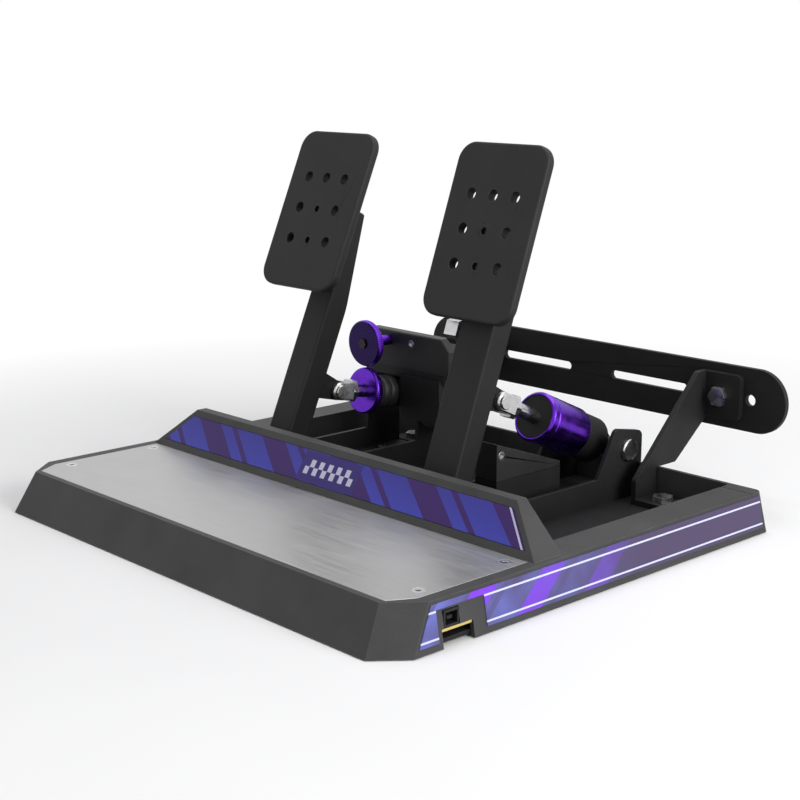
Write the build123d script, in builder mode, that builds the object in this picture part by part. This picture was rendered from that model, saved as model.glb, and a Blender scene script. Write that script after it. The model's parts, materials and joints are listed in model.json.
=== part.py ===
# Sim racing pedal set: a low base with a steel heel plate and a leaning toe board,
# a brake pedal on the left, a throttle pedal on the right, and a slotted bar on two struts behind.
# Millimetres. +X is the driver's right, +Y is away from the driver, +Z is up.
# The origin is the middle of the whole footprint, on the floor.
# A station is a distance behind the front edge of the base. A height is measured from the floor.

from build123d import *
from dataclasses import dataclass
from math import atan2, cos, hypot, radians, sin
import os

os.makedirs("parts", exist_ok=True)

# Shared clearances and sheet
running_fit = 0.05
gap = 0.3
overrun = 1.0
sheet = 3.0

# Base shell
base_width = 400.0
base_height = 27.7
ground_gap = 0.5
front_slope = 15.0
side_slope = 5.0
rear_slope = 3.0
corner_cut_x = 17.0
corner_cut_y = 20.0
rear_corner_radius = 6.0
shell_wall = 3.0
deck_thickness = 4.0
rail_width = 30.0
bay_behind_fascia = 10.0
base_behind_trunnion = 19.0
post_radius = 5.0
post_inset = 17.0
front_post_station = 90.0
middle_post_behind_pivot = 28.0
rear_post_inset = 23.0
inner_post_x = 70.0
inner_post_station = 45.0
inner_post_ahead_of_bay = 17.0
rail_seam_inset = 15.0
rail_seam_width = 1.0
rail_seam_depth = 0.8

# Floor pan and feet
foot_thickness = 2.0
foot_length = 40.0
foot_width = 14.0
foot_inset = 50.0
front_foot_station = 32.0
rear_foot_inset = 22.0
foot_corner = 4.0
pan_thickness = 2.5
rig_slot_inset = 48.0
rig_slot_behind_pivot = 18.0
rear_rig_slot_inset = 48.0
rig_slot_length = 14.0
rig_slot_width = 6.6

# Countersunk screws
screw_radius = 2.0
screw_head_radius = 4.0
pan_screw_length = 12.0
heel_screw_length = 3.6
fascia_screw_length = 6.0

# Heel plate
heel_plate_thickness = 1.5
heel_plate_front = 19.0
heel_plate_inset = 13.0
heel_plate_joint = 0.5
heel_screw_inset = 9.0
heel_screw_behind_front = 25.0
heel_screw_ahead_of_rear = 9.5

# Toe fascia
fascia_station = 123.0
fascia_height = 55.0
fascia_setback = 18.0
fascia_inset = 9.0
fascia_cheek_slope = 30.5
fascia_wall = 2.5
fascia_foot_depth = 24.0
fascia_lip = 8.0
fascia_border = 5.0
fascia_panel_thickness = 0.8
fascia_recess = 0.6
inner_tab_x = 55.0
outer_tab_inset = 41.0
fascia_tab_size = 15.0
fascia_tab_thickness = 2.5

# Side bands
band_thickness = 0.5
band_low = 4.0
band_high = 25.5
band_front_low = 24.0
band_front_high = 36.0
band_rear_inset = 8.0
band_bridge = 22.0
band_window_front = 39.0
band_window_rear = 76.0

# Data socket in the right wall
notch_front = 42.0
notch_rear = 66.0
socket_width = 12.0
socket_height = 10.2
socket_depth = 17.0
socket_wall = 1.6
socket_tongue = 2.2
socket_station = 50.0
port_board_height = 9.0
port_board_thickness = 1.6
port_board_inset = 50.0
port_board_front = 38.0
port_board_rear = 70.0
port_tip_inset = 2.5
port_post_inset = 44.0
port_post_radius = 3.0

# Rear bar on its struts
bar_behind_base = 50.0
bar_thickness = 4.0
bar_inset = 25.0
bar_height = 73.0
bar_width = 46.0
bar_slot_width = 6.4
bar_slot_inner = 20.0
bar_slot_to_bolt = 31.4
bar_hole_inset = 29.0
bar_hole_radius = 4.0
bar_bolt_to_strut = 12.4
strut_inset = 60.0
strut_thickness = 4.0
strut_ahead_of_rear = 30.0
strut_foot_depth = 22.5
strut_flange = 34.0
strut_knee = 22.0
strut_height = 90.0
strut_head_low = 57.0
strut_tail_behind = 14.0
strut_corner = 4.0
bolt_radius = 4.0
bolt_head_radius = 7.5
bolt_head_height = 4.0
nut_height = 4.5
strut_screw_length = 6.0

# Pedal modules
pivot_behind_bay = 15.0
pivot_height = 20.0
channel_width = 60.0
channel_wall_height = 23.0
pivot_ear_radius = 12.0
module_bolt_x = 18.0
module_bolt_behind_pivot = 28.0
rear_module_bolt_inset = 58.0
module_bolt_length = 5.0
module_bolt_dome = 2.6
module_bolt_radius = 2.5
module_bolt_head = 4.5
pin_radius = 4.0
pin_head_radius = 7.0
pin_head_height = 3.0
trunnion_head_radius = 8.0
bush_radius = 7.0
bush_flange_radius = 8.5
ear_corner = 5.0
foot_boss_radius = 11.0
arm_length = 192.0
arm_edge = 2.0
pocket_width = 12.0
pocket_depth = 6.0
pocket_below_arm_end = 84.0
pocket_length = 72.0

# Throttle pedal
throttle_inset = 107.0
throttle_lean_angle = 19.8
throttle_arm_width = 30.0
throttle_arm_depth = 18.0
throttle_standoff = 15.4
throttle_pin_behind = 52.0
throttle_pin_height = 86.8
throttle_trunnion_behind = 157.0
throttle_trunnion_height = 39.5
throttle_ear_foot_length = 32.0
throttle_ear_length = 13.5
throttle_ear_height = 56.5
throttle_ear_rear_height = 51.0
throttle_ear_overhang = 3.0

# Brake pedal
brake_inset = 66.0
brake_lean_angle = 23.3
brake_arm_width = 24.0
brake_arm_depth = 19.0
brake_arm_taper = 11.0
brake_taper_start = 115.0
brake_standoff = 27.0
brake_pin_behind = 52.6
brake_pin_height = 66.5
brake_trunnion_behind = 133.0
brake_trunnion_height = 53.2
brake_ear_foot_length = 22.0
brake_ear_length = 18.0

# Pedal plates
plate_width = 80.0
plate_height = 118.0
plate_thickness = 7.0
plate_corner = 13.0
plate_edge = 2.0
plate_below_arm_end = 9.0
plate_hole_radius = 4.0
plate_pitch_x = 19.5
plate_pitch_y = 23.6
plate_screw_radius = 2.5
plate_screw_head = 5.0
plate_screw_bite = 7.0
carrier_below_plate = 35.0
carrier_length = 42.0
carrier_inset = 2.0
carrier_corner = 3.0

# Clamp bolt across the throttle arm
clamp_bolt_reach = 119.0
clamp_bolt_back = -2.0
clamp_head_radius = 9.5
clamp_head_height = 11.0
clamp_bolt_skin = 5.0

# Links between arms and trunnions
lug_width = 10.0
lug_radius = 7.0
lug_root = 12.0
link_slack = 1.0
fork_gap = 11.0
fork_width = 19.0
fork_height = 13.0
fork_throat = 9.0
fork_length = 14.0
fork_bite = 4.0
fork_edge = 1.0
link_pin_head_radius = 5.2
link_pin_head = 2.0
lock_nut_radius = 9.2
lock_nut_length = 5.0
rod_radius = 5.0
eye_radius = 9.0
eye_width = 14.0
spacer_radius = 6.5

# Throttle cartridge, measured from its trunnion
sleeve_start = 28.5
sleeve_length = 43.7
sleeve_radius = 17.8
sleeve_bore = 12.0
sleeve_end_wall = 4.0
sleeve_edge = 1.5
sleeve_groove = 0.6
sleeve_groove_offset = 7.0
guide_ring_radius = 15.4
guide_ring_length = 3.0
guide_ring_recess = 0.5
piston_length = 3.0
eye_collar_radius = 16.5
eye_collar_start = 7.2
eye_stem_radius = 6.0
eye_flange_radius = 10.0
eye_flange_length = 2.0
spring_outer_radius = 10.5
spring_inner_radius = 8.0

# Brake cartridge, measured from its trunnion
load_cell_start = 10.0
load_cell_length = 14.0
load_cell_radius = 12.0
load_cell_bore_floor = 11.0
brake_rod_rear = 18.0
elastomer_radius = 12.5
elastomer_bore = 5.6
elastomer_count = 3
elastomer_length = 7.1
elastomer_gap = 0.15
elastomer_edge = 1.0
preload_radius = 17.4
preload_thickness = 6.0
preload_edge = 0.8

# Throttle sensor box
sensor_width = 20.0
sensor_behind_pivot = 44.0
sensor_length = 64.0
sensor_split = 33.0
sensor_front_height = 59.0
sensor_rear_height = 36.5
sensor_wall = 2.0
sensor_board_setback = 12.0
sensor_board_length = 26.0
sensor_board_height = 42.0
sensor_board_thickness = 1.6
sensor_post_size = 5.0
sensor_post_height = 53.5
sensor_screw_height = 50.5
magnet_radius = 4.0
magnet_thickness = 3.0
magnet_reach = 32.0

# Brake housing, above and beside the brake channel
housing_floor = 70.0
housing_split = 78.0
housing_height = 105.2
housing_rear_height = 90.0
housing_flat = 9.0
housing_ahead_of_trunnion = 24.0
housing_depth = 54.0
housing_left_width = 30.0
housing_right_width = 66.0
housing_wall = 3.0
housing_bevel = 9.0
housing_corner = 6.0
tray_inset = 2.0
tray_right_inset = 4.0
case_right_inset = 10.0
case_low = 36.0
apron_low = 39.5
apron_thickness = 2.4
apron_clearance = 1.0
apron_corner = 8.0
tab_width = 10.0
tab_half_length = 12.0
tab_thickness = 3.0
tab_ahead_of_trunnion = 3.0
left_lid_screw_inset = 15.0
right_lid_screw_inset = 41.0
lid_edge = 1.5
lid_screw_height = 97.5
lid_rear_screw_height = 83.0
lid_post_size = 8.0
lid_post_cap = 3.5
lid_screw_length = 9.0
small_screw_radius = 1.5
small_screw_head_radius = 3.0
tray_screw_length = 5.0
sensor_screw_length = 6.0
amplifier_inset = 12.0
amplifier_height = 72.0
amplifier_clearance = 5.0
amplifier_thickness = 1.6

# Gain dial on the brake housing
knob_height = 97.7
knob_ahead_of_housing = 26.0
knob_radius = 17.2
knob_thickness = 6.0
knob_edge = 0.8
knob_stem_radius = 4.0
spindle_radius = 2.5
spindle_depth = 7.0
encoder_size = 7.0
encoder_depth = 5.5
knob_screw_radius = 4.0
knob_screw_head = 1.2
knob_screw_shank_radius = 1.5
knob_screw_length = 5.0

# Widths that follow from the base
half_width = base_width / 2
bay_half_width = half_width - rail_width
post_x = half_width - post_inset
foot_x = half_width - foot_inset
rig_slot_x = half_width - rig_slot_inset
heel_plate_half_width = half_width - heel_plate_inset
heel_screw_x = heel_plate_half_width - heel_screw_inset
fascia_foot_half_width = half_width - fascia_inset
fascia_top_half_width = fascia_foot_half_width - fascia_cheek_slope
outer_tab_x = fascia_foot_half_width - outer_tab_inset
port_board_inner_x = half_width - port_board_inset
port_board_tip = half_width - port_tip_inset
port_post_x = half_width - port_post_inset
bar_half_length = half_width - bar_inset
bar_hole_x = bar_half_length - bar_hole_inset
strut_x = bay_half_width - strut_inset
bar_bolt_x = strut_x + bar_bolt_to_strut
bar_slot_outer = bar_bolt_x - bar_slot_to_bolt
throttle_x = bay_half_width - throttle_inset
brake_x = brake_inset - bay_half_width
housing_left = brake_x - housing_left_width
housing_right = brake_x + housing_right_width
tray_right = housing_right - tray_right_inset
case_right = housing_right - case_right_inset
amplifier_x = case_right - amplifier_inset
knob_x = brake_x

# Stations, from the toe fascia back
bay_front = fascia_station + fascia_foot_depth + bay_behind_fascia
pivot_station = bay_front + pivot_behind_bay
throttle_trunnion_station = pivot_station + throttle_trunnion_behind
brake_trunnion_station = pivot_station + brake_trunnion_behind
base_depth = throttle_trunnion_station + base_behind_trunnion
bay_rear = base_depth - rear_slope - shell_wall
rail_seam_station = base_depth - rail_seam_inset
band_rear = base_depth - band_rear_inset
heel_plate_rear = fascia_station - heel_plate_joint
strut_front = base_depth - strut_ahead_of_rear
strut_tail = base_depth + strut_tail_behind
bar_station = base_depth + bar_behind_base
overall_depth = bar_station + bar_thickness + nut_height
channel_front = pivot_station - pivot_ear_radius
sensor_front = pivot_station + sensor_behind_pivot
sensor_rear = sensor_front + sensor_length
sensor_board_start = sensor_front + sensor_board_setback
housing_front = brake_trunnion_station - housing_ahead_of_trunnion
housing_rear = housing_front + housing_depth
tab_station = brake_trunnion_station - tab_ahead_of_trunnion
knob_station = housing_front - knob_ahead_of_housing

# Heights and widths of the rest, and places along the arms
plate_reach = arm_length - plate_below_arm_end
carrier_start = plate_reach - carrier_below_plate
pocket_start = arm_length - pocket_below_arm_end
deck_bottom = base_height - deck_thickness
deck_middle = base_height - deck_thickness / 2
pan_top = foot_thickness + pan_thickness
web_top = pan_top + sheet
port_board_top = port_board_height + port_board_thickness
half_channel = channel_width / 2
channel_inside = half_channel - sheet

# Sizes of the countersunk screws: shank, head, length
pan_screw_size = (screw_radius, screw_head_radius, pan_screw_length)
heel_screw_size = (screw_radius, screw_head_radius, heel_screw_length)
fascia_screw_size = (screw_radius, screw_head_radius, fascia_screw_length)
tray_screw_size = (screw_radius, screw_head_radius, tray_screw_length)
lid_screw_size = (small_screw_radius, small_screw_head_radius, lid_screw_length)
sensor_screw_size = (small_screw_radius, small_screw_head_radius, sensor_screw_length)


def at(station):
    """Y of a distance behind the front edge of the base."""
    return station - overall_depth / 2


def keep(piece, name):
    """Label a finished piece and write it."""
    piece.part.label = name
    export_step(piece.part, f"parts/{name}.step")


def spot(x, station, height, facing=(0, 0, 1)):
    """A plane at a point, whose Z points where a screw's head or a bar's far end lies."""
    across = (0, 1, 0) if facing[0] else (1, 0, 0)
    return Plane(origin=(x, at(station), height), x_dir=across, z_dir=facing)


def block(x_low, x_high, station_low, station_high, low, high, mode=Mode.ADD):
    """Box between two X values, two stations and two heights."""
    with Locations((x_low, at(station_low), low)):
        corner = (Align.MIN, Align.MIN, Align.MIN)
        Box(x_high - x_low, station_high - station_low, high - low, align=corner, mode=mode)


def disc(plane, radius, length, mode=Mode.ADD):
    """Round bar that stands on a plane."""
    with BuildSketch(plane) as circle:
        Circle(radius)
    extrude(circle.sketch, amount=length, mode=mode)


def hexagon(plane, radius, length):
    """Six-sided bar that stands on a plane."""
    with BuildSketch(plane) as outline:
        RegularPolygon(radius, 6)
    extrude(outline.sketch, amount=length)


def countersunk(places, radius, head_radius, length, grow=0, mode=Mode.ADD):
    """Screws, or their holes, whose flat heads end at the places and whose shanks run back from there."""
    top = (Align.CENTER, Align.CENTER, Align.MAX)
    for place in places:
        with Locations(place):
            Cone(radius + grow, head_radius + grow, head_radius - radius, align=top, mode=mode)
            Cylinder(radius + grow, length + grow, align=top, mode=mode)


def shank(place, radius, length):
    """Round shank that runs back from a place."""
    with Locations(place):
        Cylinder(radius, length, align=(Align.CENTER, Align.CENTER, Align.MAX))


def slope_at(height):
    """Share of the wall slopes that is reached at a height."""
    return (height - ground_gap) / (base_height - ground_gap)


def base_outline(height, wall):
    """Outline of the base at a height, drawn in by a wall."""
    x = half_width - side_slope * slope_at(height) - wall
    front = at(front_slope * slope_at(height) + wall)
    rear = at(base_depth - rear_slope * slope_at(height) - wall)
    right = [(x - corner_cut_x, front), (x, front + corner_cut_y), (x, rear)]
    left = [(-x, rear), (-x, front + corner_cut_y), (-x + corner_cut_x, front)]
    with BuildSketch(Plane.XY.offset(height)) as outline:
        with BuildLine():
            Polyline(*right, *left, close=True)
        make_face()
        fillet(outline.vertices().sort_by(Axis.Y)[-2:], rear_corner_radius - wall)
    return outline.sketch


def heel_outline(height, clearance):
    """Outline of the heel plate's pocket, drawn in by a clearance."""
    x = heel_plate_half_width - clearance
    front = at(heel_plate_front + clearance)
    rear = at(heel_plate_rear - clearance)
    cut_x = corner_cut_x - (half_width - side_slope - heel_plate_half_width)
    cut_y = corner_cut_y - (heel_plate_front - front_slope)
    right = [(x - cut_x, front), (x, front + cut_y), (x, rear)]
    left = [(-x, rear), (-x, front + cut_y), (-x + cut_x, front)]
    with BuildSketch(Plane.XY.offset(height)) as outline:
        with BuildLine():
            Polyline(*right, *left, close=True)
        make_face()
    return outline.sketch


# Places that several pieces of the base share
sides = (-1, 1)
post_stations = (front_post_station, pivot_station + middle_post_behind_pivot, base_depth - rear_post_inset)
inner_post_stations = (inner_post_station, bay_front - inner_post_ahead_of_bay)
foot_stations = (front_foot_station, base_depth - rear_foot_inset)
rig_slot_stations = (pivot_station + rig_slot_behind_pivot, base_depth - rear_rig_slot_inset)
heel_screw_stations = (
    heel_plate_front + heel_screw_behind_front,
    heel_plate_rear - heel_screw_ahead_of_rear,
)
module_bolt_stations = (pivot_station + module_bolt_behind_pivot, base_depth - rear_module_bolt_inset)
post_spots = [(side * post_x, station) for side in sides for station in post_stations]
post_spots += [(side * inner_post_x, station) for side in sides for station in inner_post_stations]
pan_screw_places = [spot(x, station, foot_thickness, (0, 0, -1)) for x, station in post_spots]
heel_screw_places = [
    spot(side * heel_screw_x, station, base_height) for side in sides for station in heel_screw_stations
]
fascia_tab_station = fascia_station + fascia_wall + fascia_tab_size / 2
fascia_tab_spots = [side * x for side in sides for x in (inner_tab_x, outer_tab_x)]
fascia_screw_places = [
    spot(x, fascia_tab_station, base_height + fascia_tab_thickness) for x in fascia_tab_spots
]
strut_bolt_x = strut_x + (strut_flange - strut_thickness) / 2
strut_bolt_station = strut_front + strut_foot_depth / 2
strut_bolt_places = [
    spot(side * strut_bolt_x, strut_bolt_station, pan_top + strut_thickness) for side in sides
]
module_bolt_places = [
    spot(x + side * module_bolt_x, station, web_top)
    for x in (throttle_x, brake_x)
    for side in sides
    for station in module_bolt_stations
]

# Base shell: sloped skirt, heel deck, side rails and rear wall in one piece
with BuildPart() as base_shell:
    loft([base_outline(ground_gap, 0), base_outline(base_height, 0)], ruled=True)
    cavity = [base_outline(ground_gap - overrun, shell_wall), base_outline(deck_bottom, shell_wall)]
    loft(cavity, ruled=True, mode=Mode.SUBTRACT)
    ring_x = bay_half_width + shell_wall
    block(-ring_x, ring_x, bay_front - shell_wall, bay_rear + shell_wall, pan_top, deck_middle)
    for x, station in post_spots:
        disc(spot(x, station, pan_top), post_radius, deck_middle - pan_top)
    for station in (port_board_front, port_board_rear):
        inward = port_post_radius if station == port_board_front else -port_post_radius
        post_foot = spot(port_post_x, station + inward, port_board_top)
        disc(post_foot, port_post_radius, deck_middle - port_board_top)
    with BuildSketch(Plane.XY.offset(ground_gap)) as bay:
        with Locations((0, (at(bay_front) + at(bay_rear)) / 2)):
            RectangleRounded(2 * bay_half_width, bay_rear - bay_front, rear_corner_radius - shell_wall)
    extrude(amount=base_height, mode=Mode.SUBTRACT)
    pocket_floor = base_height - heel_plate_thickness
    extrude(heel_outline(pocket_floor, 0), amount=heel_plate_thickness + overrun, mode=Mode.SUBTRACT)
    seam_front = rail_seam_station - rail_seam_width / 2
    seam_rear = rail_seam_station + rail_seam_width / 2
    seam_floor = base_height - rail_seam_depth
    block(-half_width, half_width, seam_front, seam_rear, seam_floor, base_height, Mode.SUBTRACT)
    port_wall = half_width - side_slope - shell_wall - overrun
    notch_top = port_board_top + gap
    window_front = socket_station - socket_width / 2 - gap
    window_rear = socket_station + socket_width / 2 + gap
    window_top = port_board_top + socket_height + gap
    block(port_wall, half_width, notch_front, notch_rear, ground_gap, notch_top, Mode.SUBTRACT)
    block(port_wall, half_width, window_front, window_rear, ground_gap, window_top, Mode.SUBTRACT)
    countersunk(pan_screw_places, *pan_screw_size, running_fit, Mode.SUBTRACT)
    countersunk(heel_screw_places, *heel_screw_size, running_fit, Mode.SUBTRACT)
    for place in fascia_screw_places:
        disc(place, screw_radius + running_fit, -fascia_screw_length - running_fit, Mode.SUBTRACT)
keep(base_shell, "base_shell")

# Floor pan, with four slots for the bolts of a rig
with BuildPart() as base_pan:
    with BuildSketch(Plane.XY.offset(foot_thickness)) as pan_outline:
        add(base_outline(pan_top, shell_wall + gap).moved(Location((0, 0, -pan_top))))
        for side in sides:
            for station in rig_slot_stations:
                with Locations((side * rig_slot_x, at(station))):
                    SlotOverall(rig_slot_length, rig_slot_width, mode=Mode.SUBTRACT)
    extrude(amount=pan_thickness)
    countersunk(pan_screw_places, *pan_screw_size, running_fit, Mode.SUBTRACT)
    for place in module_bolt_places:
        disc(place, module_bolt_radius + running_fit, -module_bolt_length - running_fit, Mode.SUBTRACT)
    for place in strut_bolt_places:
        disc(place, bolt_radius + running_fit, -strut_screw_length - running_fit, Mode.SUBTRACT)
keep(base_pan, "base_pan")

with BuildPart() as rubber_feet:
    with BuildSketch() as pads:
        for x in (-foot_x, 0, foot_x):
            for station in foot_stations:
                with Locations((x, at(station))):
                    RectangleRounded(foot_length, foot_width, foot_corner)
    extrude(amount=foot_thickness)
keep(rubber_feet, "rubber_feet")

with BuildPart() as pan_screws:
    countersunk(pan_screw_places, *pan_screw_size)
keep(pan_screws, "pan_screws")

# Brushed heel plate, let into the deck
with BuildPart() as heel_plate:
    extrude(heel_outline(base_height - heel_plate_thickness, gap), amount=heel_plate_thickness)
    countersunk(heel_screw_places, *heel_screw_size, running_fit, Mode.SUBTRACT)
keep(heel_plate, "heel_plate")

with BuildPart() as deck_screws:
    countersunk(heel_screw_places, *heel_screw_size)
    countersunk(fascia_screw_places, *fascia_screw_size)
keep(deck_screws, "deck_screws")


def fascia_outline(height, wall, rear_station):
    """Outline of the toe fascia at a height, drawn in by a wall at its front and ends."""
    rise_share = (height - base_height) / (fascia_height - base_height)
    x = fascia_foot_half_width + (fascia_top_half_width - fascia_foot_half_width) * rise_share - wall
    front = fascia_station + fascia_setback * rise_share + wall
    with BuildSketch(Plane.XY.offset(height)) as outline:
        with Locations((0, at(front))):
            Rectangle(2 * x, rear_station - front, align=(Align.CENTER, Align.MIN))
    return outline.sketch


# Toe fascia: a folded board that leans back, with two cheeks, a top lip and four tabs
fascia_foot_rear = fascia_station + fascia_foot_depth
fascia_top_rear = fascia_station + fascia_setback + fascia_lip
fascia_rise = fascia_height - base_height
fascia_pitch = atan2(fascia_rise, fascia_setback)
fascia_length = hypot(fascia_rise, fascia_setback)
fascia_normal = (0, -sin(fascia_pitch), cos(fascia_pitch))
fascia_face = Plane(origin=(0, at(fascia_station), base_height), x_dir=(1, 0, 0), z_dir=fascia_normal)


def panel_outline(border):
    """Outline of the fascia's front panel, inside a border of the sloped face."""
    narrowing = (fascia_foot_half_width - fascia_top_half_width) / fascia_length
    low_x = fascia_foot_half_width - narrowing * border - border
    high_x = fascia_foot_half_width - narrowing * (fascia_length - border) - border
    high = fascia_length - border
    with BuildSketch(fascia_face) as outline:
        with BuildLine():
            Polyline((-low_x, border), (low_x, border), (high_x, high), (-high_x, high), close=True)
        make_face()
    return outline.sketch


with BuildPart() as toe_fascia:
    foot = fascia_outline(base_height, 0, fascia_foot_rear)
    top = fascia_outline(fascia_height, 0, fascia_top_rear)
    loft([foot, top], ruled=True)
    hollow_low = fascia_outline(base_height - overrun, fascia_wall, fascia_foot_rear + overrun)
    hollow_high = fascia_outline(fascia_height - fascia_wall, fascia_wall, fascia_foot_rear + overrun)
    loft([hollow_low, hollow_high], ruled=True, mode=Mode.SUBTRACT)
    for x in fascia_tab_spots:
        tab_x = (x - fascia_tab_size / 2, x + fascia_tab_size / 2)
        tab_front = fascia_tab_station - fascia_tab_size / 2
        tab_rear = fascia_tab_station + fascia_tab_size / 2
        block(*tab_x, tab_front, tab_rear, base_height, base_height + fascia_tab_thickness)
    extrude(panel_outline(fascia_border), amount=-fascia_recess, mode=Mode.SUBTRACT)
    countersunk(fascia_screw_places, *fascia_screw_size, running_fit, Mode.SUBTRACT)
keep(toe_fascia, "toe_fascia")

with BuildPart() as fascia_panel:
    extrude(panel_outline(fascia_border + gap), amount=-fascia_recess)
    extrude(panel_outline(fascia_border + gap), amount=fascia_panel_thickness - fascia_recess)
keep(fascia_panel, "fascia_panel")

# Thin bands on both sloped side walls; the right one leaves room for the data socket
side_length = hypot(side_slope, base_height - ground_gap)
side_normal = ((base_height - ground_gap) / side_length, 0, side_slope / side_length)
side_face = Plane(origin=(half_width, 0, ground_gap), x_dir=(0, 1, 0), z_dir=side_normal)
with BuildPart() as side_bands:
    with BuildSketch(side_face) as band:
        with BuildLine():
            front_edge = [(at(band_front_high), band_high), (at(band_front_low), band_low)]
            Polyline(*front_edge, (at(band_rear), band_low), (at(band_rear), band_high), close=True)
        make_face()
    extrude(amount=band_thickness)
    mirror(about=Plane.YZ)
    with BuildSketch(side_face) as band_window:
        with Locations((at(band_window_front), band_low)):
            corner = (Align.MIN, Align.MIN)
            Rectangle(band_window_rear - band_window_front, band_bridge - band_low, align=corner)
    extrude(amount=band_thickness, mode=Mode.SUBTRACT)
keep(side_bands, "side_bands")

# Data socket, standing on its board behind the right wall
port_wall_inside = half_width - side_slope - shell_wall
with BuildPart() as interface_board:
    body_x = (port_board_inner_x, port_wall_inside - gap)
    block(*body_x, port_board_front, port_board_rear, port_board_height, port_board_top)
    block(body_x[1], port_board_tip, notch_front + gap, notch_rear - gap, port_board_height, port_board_top)
keep(interface_board, "interface_board")

with BuildPart() as port_socket:
    socket_front = socket_station - socket_width / 2
    socket_rear = socket_station + socket_width / 2
    socket_inner = port_board_tip - socket_depth
    socket_top = port_board_top + socket_height
    block(socket_inner, port_board_tip, socket_front, socket_rear, port_board_top, socket_top)
    mouth = (socket_front + socket_wall, socket_rear - socket_wall)
    mouth_floor = port_board_top + socket_wall
    mouth_top = socket_top - socket_wall
    block(socket_inner + socket_wall, port_board_tip, *mouth, mouth_floor, mouth_top, Mode.SUBTRACT)
    tongue_low = (port_board_top + socket_top - socket_tongue) / 2
    tongue_x = (socket_inner + socket_wall, port_board_tip - socket_wall)
    tongue_stations = (mouth[0] + socket_tongue, mouth[1] - socket_tongue)
    block(*tongue_x, *tongue_stations, tongue_low, tongue_low + socket_tongue)
keep(port_socket, "port_socket")

# Slotted rear bar
with BuildPart() as rear_bar:
    with BuildSketch(spot(0, bar_station + bar_thickness, bar_height, (0, -1, 0))) as bar_face:
        SlotOverall(2 * bar_half_length, bar_width)
        slot_length = bar_slot_outer - bar_slot_inner
        for side in sides:
            with Locations((side * (bar_slot_inner + bar_slot_outer) / 2, 0)):
                SlotOverall(slot_length, bar_slot_width, mode=Mode.SUBTRACT)
            with Locations((side * bar_hole_x, 0)):
                Circle(bar_hole_radius, mode=Mode.SUBTRACT)
            with Locations((side * bar_bolt_x, 0)):
                Circle(bolt_radius + running_fit, mode=Mode.SUBTRACT)
    extrude(amount=bar_thickness)
keep(rear_bar, "rear_bar")

# Struts that hold the bar: a web with a foot flange on the pan and a head flange behind the bar's bolts
strut_rear = strut_front + strut_foot_depth
strut_inner = strut_x - strut_thickness
strut_outer = strut_inner + strut_flange
wall_hook = base_height + gap
for side, name in ((-1, "strut_left"), (1, "strut_right")):
    with BuildPart() as strut:
        with BuildSketch(Plane.YZ.offset(strut_inner)) as web:
            with BuildLine():
                front_edge = [(at(strut_front), pan_top), (at(strut_front), strut_knee)]
                shoulder = (at(strut_front + strut_height - strut_knee), strut_height)
                rear_edge = [(at(bar_station), strut_height), (at(bar_station), strut_head_low)]
                hook = [(at(strut_tail), wall_hook), (at(strut_rear), wall_hook), (at(strut_rear), pan_top)]
                Polyline(*front_edge, shoulder, *rear_edge, *hook, close=True)
            make_face()
            corners = web.vertices().filter_by(lambda v: v.Y > pan_top + strut_thickness)
            fillet(corners.filter_by(lambda v: abs(v.X - at(strut_rear)) > gap), strut_corner)
        extrude(amount=strut_thickness)
        block(strut_inner, strut_outer, strut_front, strut_rear, pan_top, pan_top + strut_thickness)
        head_front = bar_station - strut_thickness
        block(strut_inner, strut_outer, head_front, bar_station, strut_head_low, strut_height)
        outer_edges = strut.edges().filter_by(lambda e: e.center().X > strut_outer - gap)
        fillet(outer_edges.filter_by(lambda e: e.length < strut_thickness + gap), strut_corner)
        foot_hole = spot(strut_bolt_x, strut_bolt_station, pan_top)
        disc(foot_hole, bolt_radius + running_fit, strut_thickness, Mode.SUBTRACT)
        bar_hole = spot(bar_bolt_x, bar_station, bar_height, (0, -1, 0))
        disc(bar_hole, bolt_radius + running_fit, strut_thickness, Mode.SUBTRACT)
        if side < 0:
            mirror(about=Plane.YZ, mode=Mode.REPLACE)
    keep(strut, name)

with BuildPart() as strut_fasteners:
    for place in strut_bolt_places:
        hexagon(place, bolt_head_radius, bolt_head_height)
        shank(place, bolt_radius, strut_screw_length)
    for side in sides:
        place = spot(side * bar_bolt_x, bar_station - strut_thickness, bar_height, (0, -1, 0))
        hexagon(place, bolt_head_radius, bolt_head_height)
        shank(place, bolt_radius, strut_thickness + bar_thickness + nut_height)
        with BuildSketch(spot(side * bar_bolt_x, overall_depth, bar_height, (0, -1, 0))) as nut:
            RegularPolygon(bolt_head_radius, 6)
            Circle(bolt_radius + running_fit, mode=Mode.SUBTRACT)
        extrude(amount=nut_height)
keep(strut_fasteners, "strut_fasteners")

with BuildPart() as module_bolts:
    for place in module_bolt_places:
        disc(place, module_bolt_head, module_bolt_dome)
        shank(place, module_bolt_radius, module_bolt_length)
    heads = module_bolts.faces().filter_by(Axis.Z).group_by(Axis.Z)[-1]
    fillet(heads.edges(), module_bolt_dome / 2)
keep(module_bolts, "module_bolts")


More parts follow.
